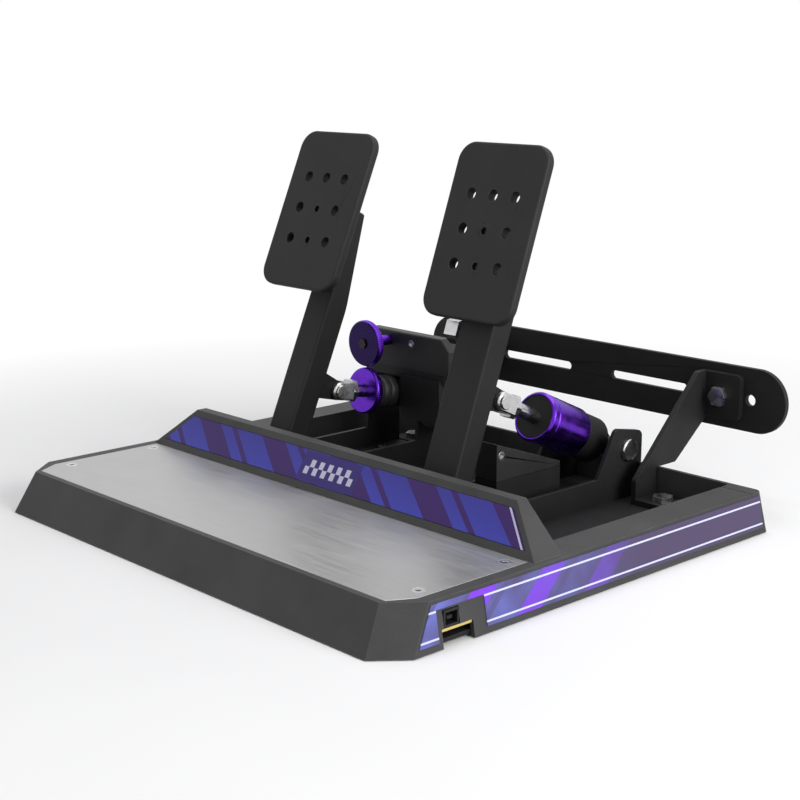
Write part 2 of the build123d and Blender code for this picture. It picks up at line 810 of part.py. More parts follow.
@dataclass
class Pedal:
    """What differs between the pedals, and the planes that follow from it."""

    name: str
    x: float
    lean: float
    arm_width: float
    arm_depth: float
    taper: float
    standoff: float
    pin_station: float
    pin_height: float
    trunnion_station: float
    trunnion_height: float
    channel_rear: float

    def pin_back_and_reach(self):
        """Distances of the link pin from the pivot, back from the arm and along it."""
        behind = self.pin_station - pivot_station
        above = self.pin_height - pivot_height
        lean = radians(self.lean)
        return behind * cos(lean) - above * sin(lean), behind * sin(lean) + above * cos(lean)

    def arm_square(self, reach):
        """Plane square to the arm, at a distance along it."""
        lean = radians(self.lean)
        origin = (self.x, at(pivot_station) + reach * sin(lean), pivot_height + reach * cos(lean))
        return Plane(origin=origin, x_dir=(1, 0, 0), z_dir=(0, sin(lean), cos(lean)))

    def arm_side(self, x):
        """Plane of the arm's side view: its X points back from the arm and its Y along it."""
        lean = radians(self.lean)
        back = (0, cos(lean), -sin(lean))
        return Plane(origin=(x, at(pivot_station), pivot_height), x_dir=back, z_dir=(1, 0, 0))

    def arm_face(self, back):
        """Plane that faces the driver, a distance behind the arm's middle, with its Y along the arm."""
        lean = radians(self.lean)
        origin = (self.x, at(pivot_station) + back * cos(lean), pivot_height - back * sin(lean))
        return Plane(origin=origin, x_dir=(1, 0, 0), z_dir=(0, -cos(lean), sin(lean)))

    def face_spot(self, back, x, reach):
        """A point of that plane, as a plane of its own."""
        face = self.arm_face(back)
        return Plane(origin=face.from_local_coords((x, reach, 0)), x_dir=face.x_dir, z_dir=face.z_dir)

    def tilt(self):
        """Angle of the strut above the floor, from its trunnion to the link pin."""
        return atan2(self.pin_height - self.trunnion_height, self.trunnion_station - self.pin_station)

    def strut_length(self):
        """Distance from the trunnion to the link pin."""
        return hypot(self.pin_height - self.trunnion_height, self.trunnion_station - self.pin_station)

    def strut_square(self, distance):
        """Plane square to the strut, at a distance from its trunnion, facing the pedal."""
        forward = -cos(self.tilt())
        upward = sin(self.tilt())
        station = self.trunnion_station + distance * forward
        origin = (self.x, at(station), self.trunnion_height + distance * upward)
        return Plane(origin=origin, x_dir=(1, 0, 0), z_dir=(0, forward, upward))

    def strut_side(self, x):
        """Plane of the strut's side view: its X runs from the trunnion to the pedal."""
        origin = (x, at(self.trunnion_station), self.trunnion_height)
        return Plane(origin=origin, x_dir=(0, -cos(self.tilt()), sin(self.tilt())), z_dir=(1, 0, 0))

    def pivot(self, x):
        """Plane square to the pivot pin."""
        return spot(x, pivot_station, pivot_height, (1, 0, 0))

    def trunnion(self, x):
        """Plane square to the trunnion pin."""
        return spot(x, self.trunnion_station, self.trunnion_height, (1, 0, 0))


throttle = Pedal(
    name="throttle",
    x=throttle_x,
    lean=throttle_lean_angle,
    arm_width=throttle_arm_width,
    arm_depth=throttle_arm_depth,
    taper=0,
    standoff=throttle_standoff,
    pin_station=pivot_station + throttle_pin_behind,
    pin_height=throttle_pin_height,
    trunnion_station=throttle_trunnion_station,
    trunnion_height=throttle_trunnion_height,
    channel_rear=bay_rear - gap,
)
brake = Pedal(
    name="brake",
    x=brake_x,
    lean=brake_lean_angle,
    arm_width=brake_arm_width,
    arm_depth=brake_arm_depth,
    taper=brake_arm_taper,
    standoff=brake_standoff,
    pin_station=pivot_station + brake_pin_behind,
    pin_height=brake_pin_height,
    trunnion_station=brake_trunnion_station,
    trunnion_height=brake_trunnion_height,
    channel_rear=strut_front - gap,
)


def make_channel(pedal, rear_ear, with_tabs):
    """Folded channel that carries a pedal: a web, two low walls, a pivot ear and a trunnion ear on each."""
    left = pedal.x - half_channel
    with BuildPart() as channel:
        block(left, left + channel_width, channel_front, pedal.channel_rear, pan_top, web_top)
        with BuildSketch(Plane.YZ.offset(left)) as cheek:
            with BuildLine():
                start = [(at(channel_front), pan_top), (at(channel_front), pivot_height)]
                low_wall = (at(pivot_station), channel_wall_height)
                ear = [(at(station), height) for station, height in rear_ear]
                Polyline(*start, low_wall, *ear, (at(pedal.channel_rear), pan_top), close=True)
            make_face()
            ear_tops = cheek.vertices().filter_by(lambda v: v.Y > base_height + ear_corner)
            fillet(ear_tops, ear_corner)
            with Locations((at(pivot_station), pivot_height)):
                Circle(pivot_ear_radius)
                Circle(pin_radius + running_fit, mode=Mode.SUBTRACT)
            with Locations((at(pedal.trunnion_station), pedal.trunnion_height)):
                Circle(pin_radius + running_fit, mode=Mode.SUBTRACT)
        extrude(amount=sheet)
        if with_tabs:
            tab_stations = (tab_station - tab_half_length, tab_station + tab_half_length)
            tab_x = (left, left + sheet + tab_width)
            block(*tab_x, *tab_stations, housing_floor - tab_thickness, housing_floor)
        mirror(about=Plane.YZ.offset(pedal.x))
        for place in module_bolt_places:
            disc(place, module_bolt_radius + running_fit, -sheet, Mode.SUBTRACT)
        if with_tabs:
            countersunk(tray_screw_places, *tray_screw_size, running_fit, Mode.SUBTRACT)
    return channel


tray_screw_places = [
    spot(brake_x + side * (channel_inside - tab_width / 2), tab_station, housing_floor + housing_wall)
    for side in sides
]
throttle_ear = [
    (throttle_trunnion_station - throttle_ear_foot_length, channel_wall_height),
    (throttle_trunnion_station - throttle_ear_length, throttle_ear_height),
    (throttle.channel_rear + throttle_ear_overhang, throttle_ear_rear_height),
    (throttle.channel_rear + throttle_ear_overhang, base_height + gap),
    (throttle.channel_rear, base_height + gap),
]
brake_ear = [
    (brake_trunnion_station - brake_ear_foot_length, channel_wall_height),
    (brake_trunnion_station - brake_ear_length, housing_floor),
    (brake.channel_rear, housing_floor),
]
keep(make_channel(throttle, throttle_ear, False), "throttle_channel")
keep(make_channel(brake, brake_ear, True), "brake_channel")


def make_cross_pin(plane_at, x, half_span, radius, head_radius, head_height):
    """Pin across a pedal, with a head on each end."""
    with BuildPart() as pin:
        disc(plane_at(x - half_span), radius, 2 * half_span)
        disc(plane_at(x - half_span - head_height), head_radius, head_height)
        disc(plane_at(x + half_span), head_radius, head_height)
        outer = pin.faces().filter_by(Axis.X).sort_by(Axis.X)
        chamfer(outer[0].edges() + outer[-1].edges(), head_height / 4)
    return pin


def make_bushes(pedal):
    """Two flanged bushes that carry the arm on its pivot pin and keep it in the middle of the channel."""
    arm_side = pedal.arm_width / 2
    with BuildPart() as bushes:
        for side in sides:
            inner = spot(pedal.x + side * gap, pivot_station, pivot_height, (side, 0, 0))
            flange = spot(pedal.x + side * arm_side, pivot_station, pivot_height, (side, 0, 0))
            disc(inner, bush_radius, arm_side - gap)
            disc(flange, bush_flange_radius, channel_inside - gap - arm_side)
        bore = pedal.pivot(pedal.x - channel_inside)
        disc(bore, pin_radius + running_fit, 2 * channel_inside, Mode.SUBTRACT)
    return bushes


def make_arm(pedal, extras):
    """Pedal arm: a rounded bar with a boss round the pivot and a lug for the link pin behind it."""
    pin_back, pin_reach = pedal.pin_back_and_reach()
    left = pedal.x - pedal.arm_width / 2
    half_depth = pedal.arm_depth / 2
    with BuildPart() as arm:
        with BuildSketch(pedal.arm_square(0)) as section:
            RectangleRounded(pedal.arm_width, pedal.arm_depth, arm_edge)
        extrude(amount=arm_length)
        if pedal.taper:
            with BuildSketch(pedal.arm_side(left)) as taper:
                with BuildLine():
                    thinned = (half_depth - pedal.taper, arm_length)
                    Polyline((half_depth, brake_taper_start), thinned, (half_depth, arm_length), close=True)
                make_face()
            extrude(amount=pedal.arm_width, mode=Mode.SUBTRACT)
        top_face = arm.faces().sort_by(Axis.Z)[-1]
        chamfer(top_face.edges(), arm_edge / 2)
        disc(pedal.pivot(left), foot_boss_radius, pedal.arm_width)
        with BuildSketch(pedal.arm_side(pedal.x - lug_width / 2)) as lug:
            with BuildLine():
                upper = [(0, pin_reach + lug_root), (pin_back, pin_reach + lug_radius)]
                lower = [(pin_back, pin_reach - lug_radius), (0, pin_reach - lug_root)]
                Polyline(*upper, *lower, close=True)
            make_face()
            with Locations((pin_back, pin_reach)):
                Circle(lug_radius)
        extrude(amount=lug_width)
        with BuildSketch(pedal.arm_side(pedal.x - lug_width / 2)) as lug_hole:
            with Locations((pin_back, pin_reach)):
                Circle(pin_radius + link_slack)
        extrude(amount=lug_width, mode=Mode.SUBTRACT)
        with BuildSketch(pedal.arm_face(half_depth)) as pocket:
            with Locations((0, pocket_start + pocket_length / 2)):
                SlotOverall(pocket_length, pocket_width, rotation=90)
        extrude(amount=pocket_depth, mode=Mode.SUBTRACT)
        disc(pedal.pivot(left), bush_radius, pedal.arm_width, Mode.SUBTRACT)
        cut_plate_screws(pedal)
        for place, radius, depth in extras:
            disc(place, radius + running_fit, -depth - running_fit, Mode.SUBTRACT)
    return arm


def plate_screw_places(pedal):
    """Heads of the two screws that hold the plate, flush with its front."""
    front = -pedal.arm_depth / 2 - pedal.standoff
    return [pedal.face_spot(front, 0, plate_reach + row * plate_pitch_y) for row in (-1, 0)]


def plate_screw_size(pedal):
    """Shank, head and length that take a plate screw through the carrier and into the arm."""
    return plate_screw_radius, plate_screw_head, pedal.standoff + plate_screw_bite


def cut_plate_screws(pedal):
    """Holes for the screws that hold the plate."""
    countersunk(plate_screw_places(pedal), *plate_screw_size(pedal), running_fit, Mode.SUBTRACT)


def make_plate(pedal):
    """Pedal plate with rows of round holes; two places of the middle column hold its screws."""
    back = -pedal.arm_depth / 2 - pedal.standoff + plate_thickness
    columns = (-1, 0, 1)
    hole_spots = [
        (column * plate_pitch_x, plate_reach + row * plate_pitch_y)
        for column in columns
        for row in columns
        if column or row > 0
    ]
    with BuildPart() as plate:
        with BuildSketch(pedal.arm_face(back)) as face:
            with Locations((0, plate_reach)):
                RectangleRounded(plate_width, plate_height, plate_corner)
            with Locations(*hole_spots):
                Circle(plate_hole_radius, mode=Mode.SUBTRACT)
        extrude(amount=plate_thickness)
        front = plate.faces().sort_by(Axis.Y)[0]
        fillet(front.outer_wire().edges(), plate_edge)
        cut_plate_screws(pedal)
    return plate


def make_carrier(pedal):
    """Block between the arm and the plate."""
    with BuildPart() as carrier:
        with BuildSketch(pedal.arm_face(-pedal.arm_depth / 2)) as outline:
            with Locations((0, carrier_start + carrier_length / 2)):
                RectangleRounded(pedal.arm_width - 2 * carrier_inset, carrier_length, carrier_corner)
        extrude(amount=pedal.standoff - plate_thickness)
        cut_plate_screws(pedal)
    return carrier


def make_plate_screws(pedal):
    """Countersunk screws of a plate."""
    with BuildPart() as screws:
        countersunk(plate_screw_places(pedal), *plate_screw_size(pedal))
    return screws


def make_clevis(pedal):
    """Fork on the front of the rod, whose cheeks take the lug between them."""
    pin = pedal.strut_length()
    with BuildPart() as clevis:
        with BuildSketch(pedal.strut_side(pedal.x - fork_width / 2)) as cheek:
            with Locations((pin - fork_length / 2, 0)):
                Rectangle(fork_length, fork_height)
            with Locations((pin, 0)):
                Circle(fork_height / 2)
        extrude(amount=fork_width)
        chamfer(clevis.faces().filter_by(Axis.X).edges(), fork_edge)
        with BuildSketch(pedal.strut_square(pin - fork_throat)) as throat:
            Rectangle(fork_gap, fork_height + overrun)
        extrude(amount=fork_throat + fork_height, mode=Mode.SUBTRACT)
        with BuildSketch(pedal.strut_side(pedal.x - fork_width / 2)) as pin_hole:
            with Locations((pin, 0)):
                Circle(pin_radius + running_fit)
        extrude(amount=fork_width, mode=Mode.SUBTRACT)
        disc(pedal.strut_square(pin - fork_length), rod_radius + running_fit, fork_bite, Mode.SUBTRACT)
    return clevis


def make_lock_nut(pedal):
    """Hexagon nut that locks the rod in the clevis."""
    nut_start = pedal.strut_length() - fork_length - lock_nut_length
    with BuildPart() as nut:
        with BuildSketch(pedal.strut_square(nut_start)) as outline:
            RegularPolygon(lock_nut_radius, 6)
            Circle(rod_radius + running_fit, mode=Mode.SUBTRACT)
        extrude(amount=lock_nut_length)
    return nut


def make_rod(pedal, rear, piston_radius, piston_depth):
    """Rod from inside the cartridge to the clevis, with a piston on its rear end where it has one."""
    front = pedal.strut_length() - fork_length + fork_bite
    with BuildPart() as rod:
        disc(pedal.strut_square(rear), rod_radius, front - rear)
        if piston_depth:
            disc(pedal.strut_square(rear), piston_radius, piston_depth)
    return rod


for pedal in (throttle, brake):
    pivot_pin = make_cross_pin(
        pedal.pivot, pedal.x, half_channel, pin_radius, pin_head_radius, pin_head_height
    )
    keep(pivot_pin, f"{pedal.name}_pivot_pin")
    trunnion_pin = make_cross_pin(
        pedal.trunnion, pedal.x, half_channel, pin_radius, trunnion_head_radius, pin_head_height
    )
    keep(trunnion_pin, f"{pedal.name}_trunnion_pin")
    link_pin = make_cross_pin(
        lambda x: spot(x, pedal.pin_station, pedal.pin_height, (1, 0, 0)),
        pedal.x,
        fork_width / 2,
        pin_radius,
        link_pin_head_radius,
        link_pin_head,
    )
    keep(link_pin, f"{pedal.name}_clevis_pin")
    keep(make_bushes(pedal), f"{pedal.name}_bushes")
    keep(make_plate(pedal), f"{pedal.name}_plate")
    keep(make_carrier(pedal), f"{pedal.name}_plate_carrier")
    keep(make_plate_screws(pedal), f"{pedal.name}_plate_screws")
    keep(make_clevis(pedal), f"{pedal.name}_clevis")
    keep(make_lock_nut(pedal), f"{pedal.name}_lock_nut")

# The clamp bolt that crosses the throttle arm, and the magnet that its sensor reads
clamp_bolt_length = throttle.arm_width - clamp_bolt_skin
clamp_face = throttle.arm_side(throttle.x - throttle.arm_width / 2)
clamp_origin = clamp_face.from_local_coords((clamp_bolt_back, clamp_bolt_reach, 0))
clamp_place = Plane(origin=clamp_origin, x_dir=clamp_face.y_dir, z_dir=(-1, 0, 0))
with BuildPart() as throttle_clamp_bolt:
    hexagon(clamp_place, clamp_head_radius, clamp_head_height)
    shank(clamp_place, bolt_radius, clamp_bolt_length)
keep(throttle_clamp_bolt, "throttle_clamp_bolt")

magnet_spot = throttle.face_spot(throttle.arm_depth / 2, 0, magnet_reach)
magnet_place = Plane(origin=magnet_spot.origin, x_dir=magnet_spot.x_dir, z_dir=-magnet_spot.z_dir)
with BuildPart() as throttle_magnet:
    shank(magnet_place, magnet_radius, magnet_thickness)
keep(throttle_magnet, "throttle_magnet")

clamp_hole = (clamp_place, bolt_radius, clamp_bolt_length)
magnet_hole = (magnet_place, magnet_radius, magnet_thickness)
keep(make_arm(throttle, [clamp_hole, magnet_hole]), "throttle_arm")
keep(make_arm(brake, []), "brake_arm")

# Spacers that keep both cartridge eyes in the middle of their trunnion pins
with BuildPart() as trunnion_spacers:
    for pedal in (throttle, brake):
        for side in sides:
            start_x = pedal.x + side * (eye_width / 2 + gap)
            start = spot(start_x, pedal.trunnion_station, pedal.trunnion_height, (side, 0, 0))
            length = channel_inside - eye_width / 2 - gap
            disc(start, spacer_radius, length)
            disc(start, pin_radius + running_fit, length, Mode.SUBTRACT)
keep(trunnion_spacers, "trunnion_spacers")

# Throttle cartridge: an eye and stem, a sleeve that turns on the stem, a guide ring, a spring and a rod
sleeve_front = sleeve_start + sleeve_length
bore_floor = sleeve_start + sleeve_end_wall
guide_ring_start = sleeve_front - guide_ring_recess - guide_ring_length
piston_start = guide_ring_start - gap - piston_length
spring_start = bore_floor + gap + eye_flange_length


def make_eye(pedal, neck_length):
    """Eye round a trunnion pin, with the neck that carries a cartridge."""
    with BuildSketch(pedal.strut_side(pedal.x - eye_width / 2)) as outline:
        Circle(eye_radius)
        Rectangle(neck_length, eye_width, align=(Align.MIN, Align.CENTER))
        Circle(pin_radius + running_fit, mode=Mode.SUBTRACT)
    extrude(outline.sketch, amount=eye_width)


with BuildPart() as throttle_end_eye:
    make_eye(throttle, eye_collar_start)
    disc(throttle.strut_square(eye_collar_start), eye_collar_radius, sleeve_start - gap - eye_collar_start)
    disc(throttle.strut_square(sleeve_start - gap), eye_stem_radius, spring_start - sleeve_start + gap)
    disc(throttle.strut_square(spring_start - eye_flange_length), eye_flange_radius, eye_flange_length)
keep(throttle_end_eye, "throttle_end_eye")

with BuildPart() as throttle_sleeve:
    disc(throttle.strut_square(sleeve_start), sleeve_radius, sleeve_length)
    chamfer(throttle_sleeve.edges().filter_by(GeomType.CIRCLE), sleeve_edge)
    disc(throttle.strut_square(bore_floor), sleeve_bore, sleeve_length, Mode.SUBTRACT)
    ring_seat = guide_ring_length + guide_ring_recess
    disc(throttle.strut_square(guide_ring_start), guide_ring_radius, ring_seat, Mode.SUBTRACT)
    disc(throttle.strut_square(sleeve_start), eye_stem_radius + running_fit, sleeve_end_wall, Mode.SUBTRACT)
    with BuildSketch(throttle.strut_square(sleeve_front - sleeve_groove_offset)) as groove:
        Circle(sleeve_radius + overrun)
        Circle(sleeve_radius - sleeve_groove, mode=Mode.SUBTRACT)
    extrude(amount=2 * sleeve_groove, mode=Mode.SUBTRACT)
keep(throttle_sleeve, "throttle_sleeve")

with BuildPart() as throttle_guide_ring:
    disc(throttle.strut_square(guide_ring_start), guide_ring_radius, guide_ring_length)
    disc(throttle.strut_square(guide_ring_start), rod_radius + running_fit, guide_ring_length, Mode.SUBTRACT)
keep(throttle_guide_ring, "throttle_guide_ring")

with BuildPart() as throttle_spring:
    spring_length = piston_start - spring_start
    disc(throttle.strut_square(spring_start), spring_outer_radius, spring_length)
    disc(throttle.strut_square(spring_start), spring_inner_radius, spring_length, Mode.SUBTRACT)
keep(throttle_spring, "throttle_spring")
keep(make_rod(throttle, piston_start, sleeve_bore - gap, piston_length), "throttle_rod")

# Brake cartridge: a load cell on the trunnion, soft rings in front of it, and the preload disc on the rod
load_cell_front = load_cell_start + load_cell_length
with BuildPart() as load_cell:
    make_eye(brake, load_cell_start)
    disc(brake.strut_square(load_cell_start), load_cell_radius, load_cell_length)
    cell_bore = load_cell_front - load_cell_bore_floor
    disc(brake.strut_square(load_cell_bore_floor), rod_radius + gap, cell_bore, Mode.SUBTRACT)
keep(load_cell, "load_cell")

with BuildPart() as brake_elastomers:
    for index in range(elastomer_count):
        start = load_cell_front + index * (elastomer_length + elastomer_gap)
        disc(brake.strut_square(start), elastomer_radius, elastomer_length)
    fillet(brake_elastomers.edges().filter_by(GeomType.CIRCLE), elastomer_edge)
    stack_length = elastomer_count * (elastomer_length + elastomer_gap)
    disc(brake.strut_square(load_cell_front), elastomer_bore, stack_length, Mode.SUBTRACT)
keep(brake_elastomers, "brake_elastomers")

with BuildPart() as brake_preload_collar:
    disc(brake.strut_square(load_cell_front + stack_length), preload_radius, preload_thickness)
    chamfer(brake_preload_collar.edges().filter_by(GeomType.CIRCLE), preload_edge)
    collar_hole = brake.strut_square(load_cell_front + stack_length)
    disc(collar_hole, rod_radius + running_fit, preload_thickness, Mode.SUBTRACT)
keep(brake_preload_collar, "brake_preload_collar")
keep(make_rod(brake, brake_rod_rear, rod_radius, 0), "brake_rod")

# Throttle sensor box on the channel's web, in two halves round an upright board
sensor_left = throttle.x - sensor_width / 2
sensor_right = throttle.x + sensor_width / 2
sensor_inner = (sensor_left + sensor_wall, sensor_right - sensor_wall)
sensor_inner_stations = (sensor_front + sensor_wall, sensor_rear - sensor_wall)
sensor_floor = web_top + sensor_wall
post_station = sensor_front + sensor_wall + gap
sensor_screw_station = post_station + sensor_post_size / 2
sensor_screw_place = spot(sensor_right, sensor_screw_station, sensor_screw_height, (1, 0, 0))
with BuildPart() as throttle_sensor_case:
    block(sensor_left, sensor_right, sensor_front, sensor_rear, web_top, sensor_split)
    block(*sensor_inner, *sensor_inner_stations, sensor_floor, sensor_split, Mode.SUBTRACT)
    post_x_range = (sensor_inner[1] - gap - sensor_post_size, sensor_inner[1] - gap)
    block(*post_x_range, post_station, post_station + sensor_post_size, sensor_floor, sensor_post_height)
    countersunk([sensor_screw_place], *sensor_screw_size, running_fit, Mode.SUBTRACT)
keep(throttle_sensor_case, "throttle_sensor_case")

with BuildPart() as throttle_sensor_cover:
    with BuildSketch(Plane.YZ.offset(sensor_left)) as cover_side:
        with BuildLine():
            foot_edge = [(at(sensor_rear), sensor_split), (at(sensor_front), sensor_split)]
            top_edge = [(at(sensor_front), sensor_front_height), (at(sensor_rear), sensor_rear_height)]
            Polyline(*foot_edge, *top_edge, close=True)
        make_face()
    extrude(amount=sensor_width)
    with BuildSketch(Plane.YZ.offset(sensor_inner[0])) as cover_hollow:
        with BuildLine():
            front, rear = (at(station) for station in sensor_inner_stations)
            front_corner = (front, sensor_front_height - sensor_wall)
            rear_corner = (rear, sensor_rear_height - sensor_wall)
            Polyline((rear, sensor_split), (front, sensor_split), front_corner, rear_corner, close=True)
        make_face()
    extrude(amount=sensor_inner[1] - sensor_inner[0], mode=Mode.SUBTRACT)
    countersunk([sensor_screw_place], *sensor_screw_size, running_fit, Mode.SUBTRACT)
keep(throttle_sensor_cover, "throttle_sensor_cover")

with BuildPart() as throttle_sensor_board:
    board_x = (throttle.x - sensor_board_thickness / 2, throttle.x + sensor_board_thickness / 2)
    board_stations = (sensor_board_start, sensor_board_start + sensor_board_length)
    block(*board_x, *board_stations, sensor_floor, sensor_board_height)
keep(throttle_sensor_board, "throttle_sensor_board")

# Brake housing: a tray on the channel's ears, a deeper case on its right with an apron that reaches to the
# cartridge, and a bevelled lid
tray_front = housing_front + tray_inset
tray_rear = housing_rear - tray_inset
tray_left = housing_left + tray_inset
tray_floor = housing_floor + housing_wall
case_left = brake_x + half_channel + pin_head_height + gap
apron_left = brake_x + elastomer_radius + apron_clearance
lid_screw_x = (housing_left + left_lid_screw_inset, housing_right - right_lid_screw_inset)
post_setback = housing_wall + gap + lid_post_size / 2
lid_ends = (
    (housing_front, -1, lid_screw_height),
    (housing_rear, 1, lid_rear_screw_height),
)
lid_screw_places = [
    spot(x, end, height, (0, facing, 0)) for x in lid_screw_x for end, facing, height in lid_ends
]
with BuildPart() as brake_housing:
    block(tray_left, tray_right, tray_front, tray_rear, housing_floor, housing_split)
    tray_corners = brake_housing.edges().filter_by(Axis.Z).group_by(Axis.X)[-1]
    fillet(tray_corners, housing_corner)
    block(case_left, case_right, tray_front, tray_rear, case_low, housing_floor)
    case_bottom = brake_housing.edges().filter_by(Axis.Y).group_by(Axis.Z)[0]
    fillet(case_bottom, housing_corner)
    with BuildSketch(spot(0, tray_front, 0, (0, -1, 0))) as apron:
        with BuildLine():
            apron_top = [(case_right, tray_floor), (apron_left, tray_floor)]
            Polyline((apron_left, apron_low), (case_right, apron_low), *apron_top, close=True)
        make_face()
        fillet(apron.vertices().group_by(Axis.Y)[0], apron_corner)
    extrude(amount=apron_thickness)
    inner_stations = (tray_front + housing_wall, tray_rear - housing_wall)
    tray_hollow = (tray_left + housing_wall, tray_right - housing_wall)
    block(*tray_hollow, *inner_stations, tray_floor, housing_split, Mode.SUBTRACT)
    case_hollow = (case_left + housing_wall, case_right - housing_wall)
    block(*case_hollow, *inner_stations, case_low + housing_wall, housing_split, Mode.SUBTRACT)
    for x in lid_screw_x:
        for end, facing, height in lid_ends:
            half_post = lid_post_size / 2
            middle = end - facing * post_setback
            across = (x - half_post, x + half_post)
            along = (middle - half_post, middle + half_post)
            block(*across, *along, housing_floor, height + lid_post_cap)
    countersunk(lid_screw_places, *lid_screw_size, running_fit, Mode.SUBTRACT)
    countersunk(tray_screw_places, *tray_screw_size, running_fit, Mode.SUBTRACT)
keep(brake_housing, "brake_housing")


def lid_height(station):
    """Height of the lid's top, which is level at the front and then falls to the rear."""
    fall = (housing_height - housing_rear_height) / (housing_depth - housing_flat)
    return housing_height - fall * max(0, station - housing_front - housing_flat)


def lid_outline(station, inset):
    """Front view of the brake housing's lid at a station, drawn in by a wall and open below it."""
    bevel_ratio = hypot(housing_bevel, housing_bevel) / housing_bevel
    left = housing_left + inset
    right = housing_right - inset
    top = lid_height(station) - inset
    bevel_foot = top - housing_bevel + 2 * inset - inset * bevel_ratio
    bevel_in = housing_bevel - inset + inset * bevel_ratio
    left_edge = [(left, housing_split), (left, bevel_foot), (housing_left + bevel_in, top)]
    right_edge = [(housing_right - bevel_in, top), (right, bevel_foot), (right, housing_split)]
    with BuildSketch(spot(0, station, 0, (0, -1, 0))) as outline:
        with BuildLine():
            Polyline(*left_edge, *right_edge, close=True)
        make_face()
    return outline.sketch


with BuildPart() as brake_housing_lid:
    lid_bend = housing_front + housing_flat
    extrude(lid_outline(lid_bend, 0), amount=housing_flat)
    loft([lid_outline(lid_bend, 0), lid_outline(housing_rear, 0)], ruled=True)
    lid_front = brake_housing_lid.faces().sort_by(Axis.Y)[0]
    lid_rear = brake_housing_lid.faces().sort_by(Axis.Y)[-1]
    fillet(lid_front.edges().sort_by(Axis.Z)[1:] + lid_rear.edges().sort_by(Axis.Z)[1:], lid_edge)
    hollow_bend = lid_outline(lid_bend, housing_wall)
    hollow_rear = lid_outline(housing_rear - housing_wall, housing_wall)
    extrude(hollow_bend, amount=housing_flat - housing_wall, mode=Mode.SUBTRACT)
    loft([hollow_bend, hollow_rear], ruled=True, mode=Mode.SUBTRACT)
    countersunk(lid_screw_places, *lid_screw_size, running_fit, Mode.SUBTRACT)
    spindle_hole = spot(knob_x, housing_front, knob_height, (0, -1, 0))
    disc(spindle_hole, spindle_radius + running_fit, -housing_wall, Mode.SUBTRACT)
keep(brake_housing_lid, "brake_housing_lid")

with BuildPart() as housing_screws:
    countersunk(lid_screw_places, *lid_screw_size)
    countersunk(tray_screw_places, *tray_screw_size)
    countersunk([sensor_screw_place], *sensor_screw_size)
keep(housing_screws, "housing_screws")

with BuildPart() as amplifier_board:
    amplifier_front = inner_stations[0] + amplifier_clearance
    amplifier_rear = inner_stations[1] - amplifier_clearance
    amplifier_sides = (amplifier_x - amplifier_thickness / 2, amplifier_x + amplifier_thickness / 2)
    amplifier_floor = case_low + housing_wall
    block(*amplifier_sides, amplifier_front, amplifier_rear, amplifier_floor, amplifier_height)
keep(amplifier_board, "amplifier_board")

# Gain dial in front of the lid, and the encoder that its spindle turns
encoder_front = housing_front + housing_wall
knob_rear = knob_station + knob_thickness
with BuildPart() as gain_encoder:
    encoder_x = (knob_x - encoder_size / 2, knob_x + encoder_size / 2)
    encoder_heights = (knob_height - encoder_size / 2, knob_height + encoder_size / 2)
    block(*encoder_x, encoder_front, encoder_front + encoder_depth, *encoder_heights)
    encoder_bore = spot(knob_x, encoder_front, knob_height, (0, -1, 0))
    disc(encoder_bore, spindle_radius + running_fit, -encoder_depth, Mode.SUBTRACT)
keep(gain_encoder, "gain_encoder")

with BuildPart() as gain_knob:
    disc(spot(knob_x, knob_rear, knob_height, (0, -1, 0)), knob_radius, knob_thickness)
    chamfer(gain_knob.edges().filter_by(GeomType.CIRCLE), knob_edge)
    stem_rear = housing_front - gap
    disc(spot(knob_x, stem_rear, knob_height, (0, -1, 0)), knob_stem_radius, stem_rear - knob_rear)
    disc(spot(knob_x, stem_rear, knob_height, (0, -1, 0)), spindle_radius, -spindle_depth)
    knob_face = spot(knob_x, knob_station, knob_height, (0, -1, 0))
    disc(knob_face, knob_screw_shank_radius + running_fit, -knob_screw_length - running_fit, Mode.SUBTRACT)
keep(gain_knob, "gain_knob")

with BuildPart() as gain_knob_screw:
    hexagon(knob_face, knob_screw_radius, knob_screw_head)
    shank(knob_face, knob_screw_shank_radius, knob_screw_length)
keep(gain_knob_screw, "gain_knob_screw")
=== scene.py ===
# Looks of the sim racing pedal set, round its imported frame. Metres: +X is the driver's right,
# +Y is away from the driver, +Z is up.

import json
import math

import bmesh
import bpy
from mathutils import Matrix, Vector


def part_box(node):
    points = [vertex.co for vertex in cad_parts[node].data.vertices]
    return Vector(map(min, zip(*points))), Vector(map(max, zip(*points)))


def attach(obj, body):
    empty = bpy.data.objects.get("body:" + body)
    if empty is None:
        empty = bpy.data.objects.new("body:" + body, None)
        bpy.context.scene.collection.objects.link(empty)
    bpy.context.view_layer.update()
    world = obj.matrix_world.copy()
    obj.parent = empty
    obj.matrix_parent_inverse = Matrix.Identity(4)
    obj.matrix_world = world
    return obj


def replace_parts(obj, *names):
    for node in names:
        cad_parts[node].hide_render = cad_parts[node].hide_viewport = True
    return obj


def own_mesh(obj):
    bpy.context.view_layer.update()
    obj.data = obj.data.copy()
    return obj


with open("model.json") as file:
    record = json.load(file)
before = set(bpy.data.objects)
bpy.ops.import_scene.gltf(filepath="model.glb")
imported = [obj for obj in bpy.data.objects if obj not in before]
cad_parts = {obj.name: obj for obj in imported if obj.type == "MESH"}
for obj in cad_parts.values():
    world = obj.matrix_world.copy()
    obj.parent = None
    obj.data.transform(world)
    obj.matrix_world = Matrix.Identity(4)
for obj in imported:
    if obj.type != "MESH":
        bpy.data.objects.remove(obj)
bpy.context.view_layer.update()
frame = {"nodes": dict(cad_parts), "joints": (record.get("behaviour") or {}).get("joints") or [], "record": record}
nodes = frame["nodes"]
joints = {joint["name"]: joint for joint in frame["joints"]}
node_slots = {row["node"]: row["material_slot"] for row in frame["record"]["subparts"]}
